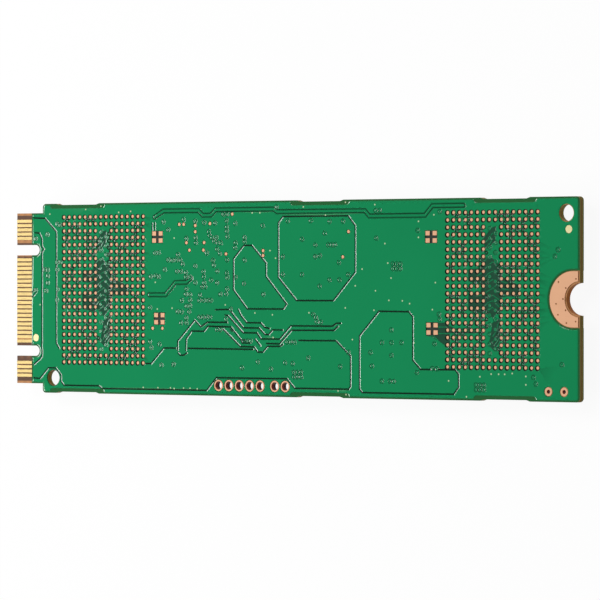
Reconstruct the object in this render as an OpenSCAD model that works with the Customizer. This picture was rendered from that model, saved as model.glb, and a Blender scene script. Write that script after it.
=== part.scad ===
// Gumstick solid state drive module, lying on its memory packages with its bare back face up.
// X runs from the card edge (negative) to the screw notch (positive), Y across, Z up out of the back.
// The origin is under the middle of the board, on the surface that the module lies on.

/* [Board] */
// Length of the board from the card edge to the screw end
board_l = 80; // [79:1:110]
// Width of the board
board_w = 22; // [21.5:0.25:26]
// Thickness of the finished board, both coats included
board_t = 0.8; // [0.6:0.05:1.6]
// Thickness of the solder mask with the foil under it, on each face
mask_t = 0.05; // [0.03:0.005:0.08]
// Thickness of the bare copper lands and contact fingers
land_t = 0.04; // [0.02:0.005:0.06]
// Radius of the board's outer corners
corner_r = 0.45; // [0.2:0.05:1]
// Gap between a land and the edge of its opening in the mask
mask_gap = 0.07; // [0.02:0.01:0.1]

/* [Card edge] */
// Width of the tongue that enters the socket
tongue_w = 19.85; // [19.5:0.05:20.2]
// Length of the tongue from its edge to the shoulders
tongue_l = 4; // [3.8:0.1:5]
// Distance between contact positions on one face
finger_pitch = 0.5; // [0.45:0.01:0.52]
// Width of one contact finger
finger_w = 0.35; // [0.25:0.05:0.4]
// Length of one contact finger
finger_l = 2.3; // [1.5:0.1:2.8]
// Width of the two keying notches
key_w = 1.2; // [1:0.05:1.4]
// Depth of the two keying notches
key_depth = 3.5; // [3:0.1:3.7]

/* [Screw end] */
// Diameter of the half-round screw notch
notch_d = 3.5; // [3:0.1:4]
// Diameter of the bare land around the screw notch
screw_land_d = 6; // [5:0.25:6.5]
// Lip of bare laminate between the notch and its land
screw_lip = 0.2; // [0.1:0.05:0.4]
// Distance of the land's round centre from the board's end
screw_land_inset = 0.9; // [0.5:0.1:1.5]
// Strip of bare laminate between the land and the board's end
screw_land_margin = 0.2; // [0.1:0.05:0.4]
// Bore of the small vias through the land
screw_via_d = 0.2; // [0.1:0.05:0.3]

/* [Edge recesses and tooling holes] */
// Depth of the shallow recesses where the board was held in its panel
recess_depth = 0.15; // [0.05:0.05:0.25]
// Length of one recess
recess_l = 6.6; // [4:0.2:8]
// Diameter of the two tooling holes
tooling_d = 1.8; // [1.2:0.1:2]
// Distance of the tooling holes from the board's long edges
tooling_inset = 1.75; // [1.5:0.05:2]

/* [Memory packages] */
// Length of a memory package along the board
memory_l = 14; // [13:0.5:14.5]
// Width of a memory package across the board
memory_w = 18; // [17.5:0.1:19]
// Thickness of a memory package's moulded cap
memory_mould_t = 0.78; // [0.7:0.02:1]
// Thickness of a memory package's substrate
memory_substrate_t = 0.26; // [0.15:0.01:0.35]
// Gap between the board's front face and a package
standoff = 0.26; // [0.2:0.01:0.3]
// Distance between neighbouring lands of the memory grid
grid_pitch = 0.8; // [0.75:0.01:0.8]
// Diameter of one land of the memory grid
grid_land_d = 0.35; // [0.3:0.01:0.45]
// Gap between such a land and the mask round it
grid_gap = 0.1; // [0.05:0.01:0.14]
// Diameter of a solder ball of the memory grid at its waist
memory_ball_d = 0.5; // [0.46:0.02:0.6]

/* [Plated holes] */
// Bore of the seven header holes
header_bore = 0.95; // [0.8:0.05:1.1]
// Width of the copper ring round a header hole
header_ring = 0.15; // [0.1:0.01:0.18]
// Distance between neighbouring header holes
header_pitch = 1.5; // [1.5:0.05:1.55]
// Bore of the two corner holes
corner_bore = 0.45; // [0.35:0.05:0.6]
// Thickness of the copper plating in the holes
plating_t = 0.05; // [0.02:0.01:0.06]

/* [Copper under the mask] */
// Width of the etched gaps round the copper areas
gap_w = 0.16; // [0.12:0.01:0.25]
// Depth of those gaps in the mask's surface
gap_depth = 0.02; // [0.01:0.005:0.025]

/* [Controller and cache] */
// Side of the square controller package
controller_w = 11; // [10.5:0.25:11.5]
// Length of the cache memory package along the board
cache_l = 8; // [7.5:0.25:8.5]
// Width of the cache memory package across the board
cache_w = 11; // [10.5:0.25:11.5]
// Thickness of both packages' moulded caps
logic_mould_t = 0.6; // [0.4:0.02:0.7]
// Thickness of both packages' substrates
logic_substrate_t = 0.2; // [0.15:0.01:0.25]
// Distance between neighbouring balls of both packages
logic_pitch = 0.8; // [0.7:0.02:0.8]
// Diameter of a solder ball of both packages at its waist
logic_ball_d = 0.46; // [0.42:0.02:0.54]

/* [Power parts] */
// Side of the square power manager package
manager_w = 5; // [4:0.25:5.5]
// Thickness of the power manager package
manager_t = 0.75; // [0.5:0.05:0.9]
// Length and width of a power inductor
inductor_w = 3; // [2.5:0.1:3.2]
// Height of a power inductor
inductor_t = 1; // [0.8:0.05:1.1]

/* [Chip parts] */
// Length of a small chip capacitor or resistor
chip_l = 1; // [0.8:0.05:1.1]
// Width of a small chip capacitor or resistor
chip_w = 0.5; // [0.4:0.02:0.55]
// Height of a small chip capacitor
capacitor_t = 0.5; // [0.3:0.05:0.6]
// Height of a small chip resistor
resistor_t = 0.35; // [0.25:0.05:0.4]
// Length of a bulk capacitor
bulk_l = 1.6; // [1.4:0.1:1.8]
// Width and height of a bulk capacitor
bulk_w = 0.8; // [0.6:0.05:0.9]

/* [Hidden] */
$fn = 32;

// Small overlap that lets a cutter run past a face.
over = 0.5;

// Places along X are set from the end of the board that each feature belongs to.
edge_x = -board_l / 2;
end_x = board_l / 2;
shoulder_x = edge_x + tongue_l;
mask_x = edge_x + finger_l;

// Heights, from the surface that the module lies on up to the back face.
front_z = memory_mould_t + memory_substrate_t + standoff;
core_bottom = front_z + mask_t;
core_t = board_t - 2 * mask_t;
core_top = core_bottom + core_t;
back_z = core_top + mask_t;
front_land_z = core_bottom - land_t;

// Routing on the back is given for an 80 by 22 mm board. On another board, what lies near an end or a long
// edge keeps its distance from it, and the middle stretches.
drawn_half = [40, 11];
drawn_zone = [20, 3];
function stretched(v, axis, half) =
    let (inner = drawn_half[axis] - drawn_zone[axis])
    abs(v) > inner
        ? sign(v) * (half - drawn_half[axis] + abs(v))
        : v * (half - drawn_zone[axis]) / inner;
function routed(path) = [for (p = path) [stretched(p[0], 0, end_x), stretched(p[1], 1, board_w / 2)]];

// Contact position n of 1 to 75, odd on the front face and even on the back one.
function finger_y(n) = (38 - n) * finger_pitch / 2;
back_fingers = [for (n = [2:2:10]) n, for (n = [20:2:58]) n, for (n = [68:2:74]) n];
front_fingers = [for (n = [1:2:11]) n, for (n = [21:2:57]) n, for (n = [67:2:75]) n];
key_b_y = (finger_y(12) + finger_y(19)) / 2;
key_m_y = (finger_y(59) + finger_y(66)) / 2;

// Middles of the two memory packages.
memory_a_x = edge_x + 13.3;
memory_b_x = end_x - 11.44;
memory_y = 1.02;

// The memory grid has 16 columns and 22 rows, and its two middle columns stay empty between the outer rows.
grid_columns = 16;
grid_rows = 22;
grid_full_rows = 2;
function grid_x(i) = (i - (grid_columns - 1) / 2) * grid_pitch;
function grid_y(j) = (j - (grid_rows - 1) / 2) * grid_pitch;
function in_grid(i, j) =
    j < grid_full_rows || j >= grid_rows - grid_full_rows
    || abs(i - (grid_columns - 1) / 2) > 1;

// Middles of the recesses along both long edges.
recess_slope = 0.45;
recess_places = [memory_a_x - 4, 4.9, memory_b_x + 1.65];

tooling_places = [
    [end_x - 1.7, board_w / 2 - tooling_inset],
    [shoulder_x + 1.65, -board_w / 2 + tooling_inset]
];

// Plated holes: five header holes and two more, then two at the far corner.
header_y = -board_w / 2 + 1.18;
header_start = -9.58;
header_gap = 2.1;
header_places = [
    for (i = [0:4]) [header_start + i * header_pitch, header_y],
    for (i = [0:1]) [header_start + 4 * header_pitch + header_gap + i * header_pitch, header_y]
];
corner_places = [[end_x - 4.05, -board_w / 2 + 1.1], [end_x - 2, -board_w / 2 + 1.1]];
corner_ring = 0.25;

// Bare lands on the back for four pairs of chip capacitors.
pair_land = [0.56, 0.48];
pair_step = [0.96, 0.8];
pair_places = [
    [memory_a_x + 8.1, 7.03], [memory_a_x + 8.4, -2.3],
    [memory_b_x - 8.24, 6.8], [memory_b_x - 8.11, -3.25]
];

// Round test lands on the back.
test_land_d = 0.36;
test_places = concat(
    routed([
        [-15.35, 8.45], [-14.7, 8.45], [-13, 8.3], [-13, 7.6], [-14.3, 6.35], [-13.85, 5.5],
        [-10.85, 8.5], [-11.7, 6.35], [-11.8, 5.5], [-8.5, 5.05], [-7.6, 9.55],
        [-3.15, 5.4], [-3.15, 4.85], [8.95, 7.45], [8.15, 4.65]
    ]),
    [[memory_a_x + 7.4, -3.4], [memory_a_x + 8.85, -3.4]]
);

// Vias through the screw land, each with its angle and its share of the way to the land's edge.
screw_vias = [
    [34, 0.86], [34, 0], [78, 0.11], [1, 0], [-9, 0.61],
    [-33, 0], [-30.5, 0.79], [-56, 0.86], [-78, 0.39]
];

fiducial_d = 0.85;
fiducial_gap = 0.02;
fiducial_places = [[end_x - 1.4, 7.5], [mask_x + 0.65, -4.6]];

// The lands on the front lie land_t proud of the core, and a ball spans from there to its package.
ball_h = standoff + mask_t - land_t;
controller_gap = 1.6;
cache_gap = 7.7;
controller_x = memory_a_x + memory_l / 2 + controller_gap + controller_w / 2;
controller_y = 2.9;
cache_x = controller_x + controller_w / 2 + cache_gap + cache_l / 2;
cache_y = 3.6;
power_x = memory_b_x - memory_l / 2 - 7.1;
memory_a_place = [memory_a_x, memory_y, 0];
memory_b_place = [memory_b_x, memory_y, 0];
controller_place = [controller_x, controller_y, 0];
cache_place = [cache_x, cache_y, 0];
logic_land_d = 0.38;

// The controller's grid has an empty ring round its middle block, and the cache's has three empty columns.
controller_count = 12;
controller_empty_ring = 3;
controller_grid = [
    for (i = [0:controller_count - 1], j = [0:controller_count - 1])
        if (min(i, j, controller_count - 1 - i, controller_count - 1 - j) != controller_empty_ring)
            [(i - (controller_count - 1) / 2) * logic_pitch, (j - (controller_count - 1) / 2) * logic_pitch]
];
cache_columns = 9;
cache_rows = 13;
cache_grid = [
    for (i = [0:cache_columns - 1], j = [0:cache_rows - 1])
        if (abs(i - (cache_columns - 1) / 2) > 1)
            [(i - (cache_columns - 1) / 2) * logic_pitch, (j - (cache_rows - 1) / 2) * logic_pitch]
];
dimple_d = 0.7;
dimple_depth = 0.03;
dimple_inset = 0.9;

// Small clearance under the bodies of parts that stand on their terminals.
part_lift = 0.04;

manager_place = [power_x, -5.2, 0];
manager_pitch = 0.5;
manager_lead_w = 0.25;
manager_lead_l = 0.4;
manager_lead_t = 0.2;
manager_count = floor((manager_w - 1.5) / manager_pitch) + 1;
manager_pad = manager_w - 1.8;

inductor_step = 3.8;
inductor_places = [
    [power_x - inductor_step / 2, 0.6, 90],
    [power_x + inductor_step / 2, 0.6, 90],
    [power_x - inductor_step / 2, 5.2, 90]
];
inductor_corner = 0.2;
strap_l = 0.7;
strap_t = 0.1;
strap_h = 0.55;
strap_w = 2;

oscillator_place = [controller_x + controller_w / 2 + cache_gap / 2 - 0.2, 6.2, 0];
oscillator_l = 2.5;
oscillator_w = 2;
oscillator_base_t = 0.4;
oscillator_pad_l = 0.7;
oscillator_pad_w = 0.6;
lid_margin = 0.2;
lid_t = 0.08;

switch_place = [controller_x - 3.2, controller_y - controller_w / 2 - 4.2, 0];
switch_l = 2.9;
switch_w = 1.6;
switch_t = 0.9;
switch_lift = 0.08;
switch_bevel = 0.1;
switch_pitch = 0.95;
switch_lead_w = 0.35;
switch_lead_t = 0.12;
switch_lead_z = 0.42;
switch_lead_run = 0.6;
switch_knee = 0.12;
switch_foot = 0.4;

// Chip parts: share of the length that each metal end takes, and how far the ends stand proud.
end_share = 0.25;
chip_step = 0.02;
fillet_l = 0.2;
fillet_share = 0.6;
land_tuck = 0.05;

// Rows and columns of chip parts, as [x, y, angle].
function row(x, y, step, count, angle) = [for (i = [0:count - 1]) [x + i * step, y, angle]];
function column(x, y, step, count, angle) = [for (i = [0:count - 1]) [x, y + i * step, angle]];
chip_step_x = 1.7;
capacitor_places = concat(
    // In line with the socket's signal pairs
    column(shoulder_x + 1.1, 3, -0.9, 2, 0),
    column(shoulder_x + 1.1, 0.2, -0.9, 2, 0),
    // Round the controller
    row(controller_x - 4.2, controller_y + controller_w / 2 + 0.8, chip_step_x, 6, 0),
    row(controller_x - 4.2, controller_y - controller_w / 2 - 0.8, chip_step_x, 6, 0),
    column(controller_x - controller_w / 2 - 0.8, controller_y - 3.6, 1.8, 5, 90),
    // Round the cache
    column(cache_x - cache_l / 2 - 0.8, cache_y - 3.8, 1.9, 5, 90),
    column(cache_x + cache_l / 2 + 0.8, cache_y - 3.8, 1.9, 5, 90),
    row(cache_x - 2.6, cache_y - cache_w / 2 - 0.8, chip_step_x, 4, 0),
    // Between the inductors and the power manager
    row(power_x - 1.7, -1.75, chip_step_x, 3, 0),
    // By the screw end
    column(memory_b_x + memory_l / 2 + 1, 4.4, 1.8, 2, 90)
);
bulk_places = concat(
    // Beside the power parts
    column(memory_b_x - memory_l / 2 - 1.9, -8.4, 1.3, 13, 0),
    row(power_x + 1.9, 4.2, 0, 1, 0),
    row(power_x + 1.9, 5.6, 0, 1, 0),
    // In the strips below the memory packages
    row(memory_a_x - 3.6, memory_y - memory_w / 2 - 1.3, 2.4, 5, 0),
    row(memory_b_x - 6, memory_y - memory_w / 2 - 1.3, 2.4, 5, 0),
    // By the contacts for the supply
    column(shoulder_x + 1.1, 8.6, -2.4, 2, 90)
);
resistor_places = concat(
    row(controller_x - 0.5, controller_y - controller_w / 2 - 2.4, chip_step_x, 5, 0),
    column(oscillator_place[0], 3.6, -0.9, 4, 0),
    row(cache_x - 2.6, cache_y - cache_w / 2 - 2.2, chip_step_x, 4, 0),
    column(power_x - 4, -7.6, 1.7, 3, 90),
    column(shoulder_x + 1.1, -2.6, -0.9, 3, 0)
);

// Etched gaps round the copper areas on the back, as open or closed paths of corner points.
closed_gaps = [
    // The eight-sided area
    [[-0.95, 8.5], [-0.3, 9.2], [8.9, 9.2], [9.9, 8.1], [9.9, 2.95], [6.85, -0.2], [1.65, -0.2],
        [-0.95, 2.4]],
    // The slanted area beside it
    [[-7.4, 4.5], [-5.9, 6], [-4.75, 6], [-2.7, 4], [-2.7, 2.5], [0.25, -0.6], [-0.2, -1.15], [-5.4, -1.15],
        [-7.4, 1]],
    // The supply area by the power parts
    [[10.5, -4.1], [13.2, -1.35], [17.3, -1.4], [17.85, -1.95], [17.85, -6.7], [18.9, -7.7], [23.6, -7.7],
        [24.05, -8.2], [24.05, -9.6], [23.4, -10.35], [10.9, -10.35], [10.5, -9.95]]
];
open_gaps = [
    // Along the card edge, past both keys
    [[-37.35, -7.75], [-36.9, -7.4], [-36.4, -7.1], [-36.1, -6.75], [-36.05, -6.1], [-36.15, -5.6],
        [-36.1, -5], [-36.1, 5.4], [-35.8, 5.72], [-36.1, 6.05], [-36.1, 6.9], [-36.5, 7.6], [-37.2, 7.65]],
    // From the upper shoulder down beside the memory grid
    [[-37.4, 9.38], [-35.65, 9.32], [-34.02, 7.85], [-34.02, -5.2], [-33.4, -5.85]],
    // Round the lower tooling hole and along the lower edge
    [[-37.35, -9.3], [-36.4, -9.35], [-35.1, -8.1], [-33.95, -8.1], [-33.15, -8.9], [-33.15, -9.65],
        [-32.7, -10.1], [-27.4, -10.1], [-26.9, -10.4], [-11.27, -10.4], [-9.87, -8.95], [0.3, -8.95],
        [1.4, -10], [9, -10], [9.25, -9.7], [9.25, -6.3], [7.2, -4.65], [2, -4.65]],
    // From the memory grid to the middle of the board
    [[-20.3, -7.45], [-19.5, -7.45], [-17.6, -5.65], [-15.8, -5.65]],
    [[-14, -5.66], [-4.55, -5.7]],
    // The signal pair along the upper edge, one gap on each side
    [[-18.8, 9.4], [-17.7, 10.2], [-12.5, 10.2], [-11.9, 9.7], [-10.8, 9.7], [-10.2, 10.3], [-1.4, 10.3],
        [-1, 10], [11.4, 10], [12, 9.4], [19.4, 9.4], [20.3, 10.35], [24.8, 10.35], [24.8, 10]],
    [[-18.6, 9.15], [-17.6, 9.75], [-12.6, 9.75], [-11.9, 9.2], [-10.6, 9.2], [-9.9, 9.8], [-1.8, 9.8],
        [-1.3, 9.5], [11.1, 9.5], [11.7, 8.9], [19.6, 8.9], [20.7, 10], [24.8, 10]],
    // The pairs in the middle
    [[-19.8, 0.65], [-17.5, 0.65], [-16, 2.1], [-14.6, 2.1]],
    [[-19.8, 0.2], [-17.2, 0.2], [-15.8, 1.6], [-14, 1.6], [-13.4, 2.2]],
    [[-15.55, -5.9], [-15.55, -4.85], [-13.05, -2.45], [-12.15, -3.2], [-11.2, -2.67], [-8.3, -2.68]],
    [[-14.35, -5.9], [-14.3, -4.6], [-13.5, -3.7], [-11.7, -3.7], [-11.1, -3.13], [-7.75, -3.2],
        [-6.3, -4.65], [-6.1, -5], [-5, -5]],
    [[-10, -1.25], [-8, -1.22], [-5.95, -3.28], [-3.7, -3.3], [-2.85, -4.02], [-2.3, -4.02],
        [-1.75, -3.5], [-0.3, -3.5]],
    [[-8.6, -1.85], [-8.2, -1.9], [-6, -3.85], [-4, -3.85], [-3.4, -4.52], [-0.75, -4.52],
        [0.85, -3.03], [6.7, -3.03], [7.3, -2.7], [7.9, -2.7]],
    [[-8.9, -3.45], [-8.1, -4.05], [-6.4, -5.4], [-4.4, -5.43], [-3.9, -6], [-3.15, -6],
        [-2.45, -5.35], [-0.65, -5.33]],
    [[-2.6, -5.03], [-0.75, -5.05], [0.95, -3.52], [6.9, -3.5], [7.5, -3.05]]
];

// An open or closed path becomes a band of even width, mitred at its corners.
function unit(v) = v / norm(v);
function left_of(v) = [-v[1], v[0]];
function mitre(before, after, half) =
    let (a = left_of(unit(before)), b = left_of(unit(after)))
    (a + b) * half / (1 + a * b);
function side(path, half) = [
    for (i = [0:len(path) - 1])
        let (
            before = path[max(i, 1)] - path[max(i, 1) - 1],
            after = path[min(i, len(path) - 2) + 1] - path[min(i, len(path) - 2)]
        )
        path[i] + mitre(before, after, half)
];
function ring_side(path, half) = [
    for (i = [0:len(path) - 1])
        let (
            n = len(path),
            before = path[i] - path[(i + n - 1) % n],
            after = path[(i + 1) % n] - path[i]
        )
        path[i] + mitre(before, after, half)
];
function backwards(list) = [for (i = [len(list) - 1:-1:0]) list[i]];

module band(path) {
    polygon(concat(side(path, gap_w / 2), backwards(side(path, -gap_w / 2))));
}

module ring_band(path) {
    difference() {
        polygon(ring_side(path, gap_w / 2));
        polygon(ring_side(path, -gap_w / 2));
    }
}

// Flat outlines.
module rounded(low, high, r) {
    translate([low[0] + r, low[1]])
        square([high[0] - low[0] - 2 * r, high[1] - low[1]]);
    translate([low[0], low[1] + r])
        square([high[0] - low[0], high[1] - low[1] - 2 * r]);
    for (x = [low[0] + r, high[0] - r], y = [low[1] + r, high[1] - r])
        translate([x, y])
            circle(r);
}

module block(w, l) {
    square([w, l], center = true);
}

module bar(w, l, h) {
    translate([-w / 2, -l / 2, 0])
        cube([w, l, h]);
}

// A keying notch with a fully round end, open at the card edge.
module key_notch(y) {
    translate([edge_x - over, y - key_w / 2])
        square([key_depth + over - key_w / 2, key_w]);
    translate([edge_x + key_depth - key_w / 2, y])
        circle(key_w / 2);
}

// A recess in a long edge, with sloping ends. dir is 1 at the upper edge and -1 at the lower one.
module edge_recess(x, dir) {
    top = recess_l / 2;
    floor_half = top - recess_slope;
    translate([x, dir * board_w / 2])
        polygon([
            [-top - recess_slope, dir * recess_depth],
            [-floor_half, -dir * recess_depth],
            [floor_half, -dir * recess_depth],
            [top + recess_slope, dir * recess_depth]
        ]);
}

module board_outline() {
    difference() {
        union() {
            rounded([shoulder_x, -board_w / 2], [end_x, board_w / 2], corner_r);
            translate([edge_x, -tongue_w / 2])
                square([tongue_l + corner_r, tongue_w]);
        }
        key_notch(key_b_y);
        key_notch(key_m_y);
        translate([end_x, 0])
            circle(notch_d / 2);
        for (x = recess_places, dir = [-1, 1])
            edge_recess(x, dir);
    }
}

// Distance from the notch's centre to the land's outer edge, at an angle from the board's middle line.
function screw_land_reach(a) =
    screw_land_inset * cos(a) + sqrt(pow(screw_land_d / 2, 2) - pow(screw_land_inset * sin(a), 2));

// Place of a via in the land, from its angle and its share of the way outwards.
function screw_via_place(via) =
    let (
        low = notch_d / 2 + screw_lip + screw_via_d,
        high = screw_land_reach(via[0]) - screw_via_d,
        r = low + via[1] * (high - low)
    )
    [end_x - r * cos(via[0]), r * sin(via[0])];

module screw_land_outline(grow) {
    difference() {
        union() {
            translate([end_x - screw_land_inset, 0])
                circle(screw_land_d / 2 + grow);
            translate([end_x - screw_land_inset, -screw_land_d / 2 - grow])
                square([screw_land_inset, screw_land_d + 2 * grow]);
        }
        translate([end_x - screw_land_margin, -screw_land_d])
            square([screw_land_margin + 2 * screw_land_d, 2 * screw_land_d]);
        translate([end_x, 0])
            circle(notch_d / 2 + screw_lip);
    }
}

// Everything that pierces the mask on both faces alike.
module shared_openings() {
    for (p = tooling_places)
        translate(p)
            circle(tooling_d / 2 + mask_gap);
    for (p = header_places)
        translate(p)
            circle(header_bore / 2 + header_ring + mask_gap);
    for (p = corner_places)
        translate(p)
            circle(corner_bore / 2 + corner_ring + mask_gap);
    translate([end_x - screw_land_inset, 0])
        circle(screw_land_d / 2 + mask_gap);
    translate([end_x - screw_land_inset, -screw_land_d / 2 - mask_gap])
        square([screw_land_inset + over, screw_land_d + 2 * mask_gap]);
}

module masked_area() {
    intersection() {
        board_outline();
        translate([mask_x, -board_w])
            square([board_l, 2 * board_w]);
    }
}

module grid_circles(d) {
    for (i = [0:grid_columns - 1], j = [0:grid_rows - 1])
        if (in_grid(i, j))
            translate([grid_x(i), grid_y(j)])
                circle(d / 2);
}

module back_openings() {
    shared_openings();
    for (x = [memory_a_x, memory_b_x])
        translate([x, memory_y])
            grid_circles(grid_land_d + 2 * grid_gap);
    for (p = pair_places)
        translate(p)
            block(pair_step[0] + pair_land[0] + 2 * mask_gap, pair_step[1] + pair_land[1] + 2 * mask_gap);
    for (p = test_places)
        translate(p)
            circle(test_land_d / 2 + mask_gap);
    for (p = fiducial_places)
        translate(p)
            circle(fiducial_d / 2 + fiducial_gap);
}

// The board itself.
module laminate() {
    color("peru")
        translate([0, 0, core_bottom])
            linear_extrude(core_t)
                difference() {
                    board_outline();
                    for (p = tooling_places)
                        translate(p)
                            circle(tooling_d / 2);
                    for (p = header_places)
                        translate(p)
                            circle(header_bore / 2 + plating_t);
                    for (p = corner_places)
                        translate(p)
                            circle(corner_bore / 2 + plating_t);
                }
}

module solder_mask_back() {
    color("seagreen")
        difference() {
            translate([0, 0, core_top])
                linear_extrude(mask_t)
                    difference() {
                        masked_area();
                        back_openings();
                    }
            for (path = [for (gap = open_gaps) routed(gap)])
                translate([0, 0, back_z - gap_depth])
                    linear_extrude(over)
                        band(path);
            for (path = [for (gap = closed_gaps) routed(gap)])
                translate([0, 0, back_z - gap_depth])
                    linear_extrude(over)
                        ring_band(path);
        }
}

module contact_fingers(numbers, z) {
    color("gold")
        for (n = numbers)
            translate([edge_x, finger_y(n) - finger_w / 2, z])
                cube([finger_l, finger_w, land_t]);
}

module memory_lands_back(x) {
    color("lightsalmon")
        translate([x, memory_y, core_top])
            linear_extrude(land_t)
                grid_circles(grid_land_d);
}

module capacitor_lands_back() {
    color("lightsalmon")
        for (p = pair_places, sx = [-1, 1], sy = [-1, 1])
            translate([p[0] + sx * pair_step[0] / 2, p[1] + sy * pair_step[1] / 2, core_top])
                linear_extrude(land_t)
                    block(pair_land[0], pair_land[1]);
}

module test_lands_back() {
    color("lightsalmon")
        for (p = test_places)
            translate([p[0], p[1], core_top])
                cylinder(d = test_land_d, h = land_t);
}

module fiducials_back() {
    color("khaki")
        for (p = fiducial_places)
            translate([p[0], p[1], core_top])
                cylinder(d = fiducial_d, h = land_t);
}

module screw_land(z) {
    color("lightsalmon")
        translate([0, 0, z])
            linear_extrude(land_t)
                difference() {
                    screw_land_outline(0);
                    for (via = screw_vias)
                        translate(screw_via_place(via))
                            circle(screw_via_d / 2);
                }
}

// A plated hole: a thin copper barrel with a flat ring on each face of the core.
module eyelet(bore, ring) {
    wall = bore / 2 + plating_t;
    rim = bore / 2 + ring;
    low = core_bottom - land_t;
    high = core_top + land_t;
    color("lightsalmon")
        rotate_extrude()
            polygon([
                [bore / 2, low], [rim, low], [rim, core_bottom], [wall, core_bottom],
                [wall, core_top], [rim, core_top], [rim, high], [bore / 2, high]
            ]);
}

module header_eyelets() {
    for (p = header_places)
        translate(p)
            eyelet(header_bore, header_ring);
}

module corner_eyelets() {
    for (p = corner_places)
        translate(p)
            eyelet(corner_bore, corner_ring);
}

// The rest hangs from the front face. Each piece is drawn upside down, with z = 0 on the lands.
module on_front(place) {
    translate([place[0], place[1], front_land_z])
        rotate([180, 0, 0])
            rotate(place[2])
                children();
}

// A ball grid package, from its solder balls to its moulded cap. A soldered ball is a squat barrel.
module ball(foot, waist) {
    rotate_extrude()
        polygon([
            [0, 0], [foot, 0], [waist, 0.35 * ball_h],
            [waist, 0.65 * ball_h], [foot, ball_h], [0, ball_h]
        ]);
}

module memory_balls(place) {
    color("silver")
        on_front(place)
            for (i = [0:grid_columns - 1], j = [0:grid_rows - 1])
                if (in_grid(i, j))
                    translate([grid_x(i), grid_y(j)])
                        ball(grid_land_d / 2, memory_ball_d / 2);
}

module substrate(place, l, w, t) {
    color("darkgreen")
        on_front(place)
            translate([0, 0, ball_h])
                bar(l, w, t);
}

module memory_substrate(place) {
    substrate(place, memory_l, memory_w, memory_substrate_t);
}

// The shallow round dimple that marks a package's first corner.
module corner_dimple(l, w, top) {
    translate([-l / 2 + dimple_inset, -w / 2 + dimple_inset, top - dimple_depth])
        cylinder(d = dimple_d, h = over);
}

module mould(place, l, w, low, t) {
    color("dimgray")
        on_front(place)
            difference() {
                translate([0, 0, ball_h + low])
                    bar(l, w, t);
                corner_dimple(l, w, ball_h + low + t);
            }
}

module memory_mould(place) {
    mould(place, memory_l, memory_w, memory_substrate_t, memory_mould_t);
}

module logic_balls(place, grid) {
    color("silver")
        on_front(place)
            for (p = grid)
                translate(p)
                    ball(logic_land_d / 2, logic_ball_d / 2);
}

module controller_substrate() {
    substrate(controller_place, controller_w, controller_w, logic_substrate_t);
}

module controller_mould() {
    mould(controller_place, controller_w, controller_w, logic_substrate_t, logic_mould_t);
}

module cache_substrate() {
    substrate(cache_place, cache_l, cache_w, logic_substrate_t);
}

module cache_mould() {
    mould(cache_place, cache_l, cache_w, logic_substrate_t, logic_mould_t);
}

// The power manager, a flat package with terminals let into its lower edge.
module manager_terminal_blocks() {
    for (a = [0:90:270], i = [0:manager_count - 1])
        rotate(a)
            translate([(i - (manager_count - 1) / 2) * manager_pitch, manager_lead_l / 2 - manager_w / 2, 0])
                bar(manager_lead_w, manager_lead_l, manager_lead_t);
    translate([-manager_pad / 2, -manager_pad / 2, 0])
        cube([manager_pad, manager_pad, manager_lead_t]);
}

module power_manager_mould() {
    color("dimgray")
        on_front(manager_place)
            difference() {
                translate([-manager_w / 2, -manager_w / 2, part_lift])
                    cube([manager_w, manager_w, manager_t - part_lift]);
                manager_terminal_blocks();
                corner_dimple(manager_w, manager_w, manager_t);
            }
}

module power_manager_terminals() {
    color("silver")
        on_front(manager_place)
            manager_terminal_blocks();
}

// A moulded inductor with a strap folded round each end.
module inductor_straps() {
    for (s = [-1, 1])
        translate([s * inductor_w / 2, 0, 0])
            rotate([90, 0, 0])
                translate([0, 0, -strap_w / 2])
                    linear_extrude(strap_w)
                        polygon([
                            [0, 0], [-s * strap_l, 0], [-s * strap_l, strap_t],
                            [-s * strap_t, strap_t], [-s * strap_t, strap_h], [0, strap_h]
                        ]);
}

module inductor_core() {
    difference() {
        translate([-inductor_w / 2, -inductor_w / 2, part_lift])
            linear_extrude(inductor_t - part_lift)
                rounded([0, 0], [inductor_w, inductor_w], inductor_corner);
        inductor_straps();
    }
}

// The oscillator: ceramic base, welded metal lid and four corner terminals.
module oscillator_terminals() {
    color("silver")
        on_front(oscillator_place)
            for (sx = [-1, 1], sy = [-1, 1])
                translate([
                    sx * (oscillator_l - oscillator_pad_l) / 2,
                    sy * (oscillator_w - oscillator_pad_w) / 2
                ])
                    bar(oscillator_pad_l, oscillator_pad_w, part_lift);
}

module oscillator_base() {
    color("tan")
        on_front(oscillator_place)
            translate([-oscillator_l / 2, -oscillator_w / 2, part_lift])
                linear_extrude(oscillator_base_t)
                    rounded([0, 0], [oscillator_l, oscillator_w], 0.15);
}

module oscillator_lid() {
    color("silver")
        on_front(oscillator_place)
            translate([-oscillator_l / 2, -oscillator_w / 2, part_lift + oscillator_base_t])
                linear_extrude(lid_t)
                    rounded(
                        [lid_margin, lid_margin],
                        [oscillator_l - lid_margin, oscillator_w - lid_margin],
                        0.15
                    );
}

// The load switch: a bevelled body with three gull-wing leads on each side.
module load_switch_body() {
    side_y = switch_w / 2;
    color("dimgray")
        on_front(switch_place)
            rotate([90, 0, 90])
                translate([0, 0, -switch_l / 2])
                    linear_extrude(switch_l)
                        polygon([
                            [-side_y + switch_bevel, switch_lift], [side_y - switch_bevel, switch_lift],
                            [side_y, switch_lead_z], [side_y, switch_lead_z + switch_lead_t],
                            [side_y - switch_bevel, switch_t], [-side_y + switch_bevel, switch_t],
                            [-side_y, switch_lead_z + switch_lead_t], [-side_y, switch_lead_z]
                        ]);
}

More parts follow.
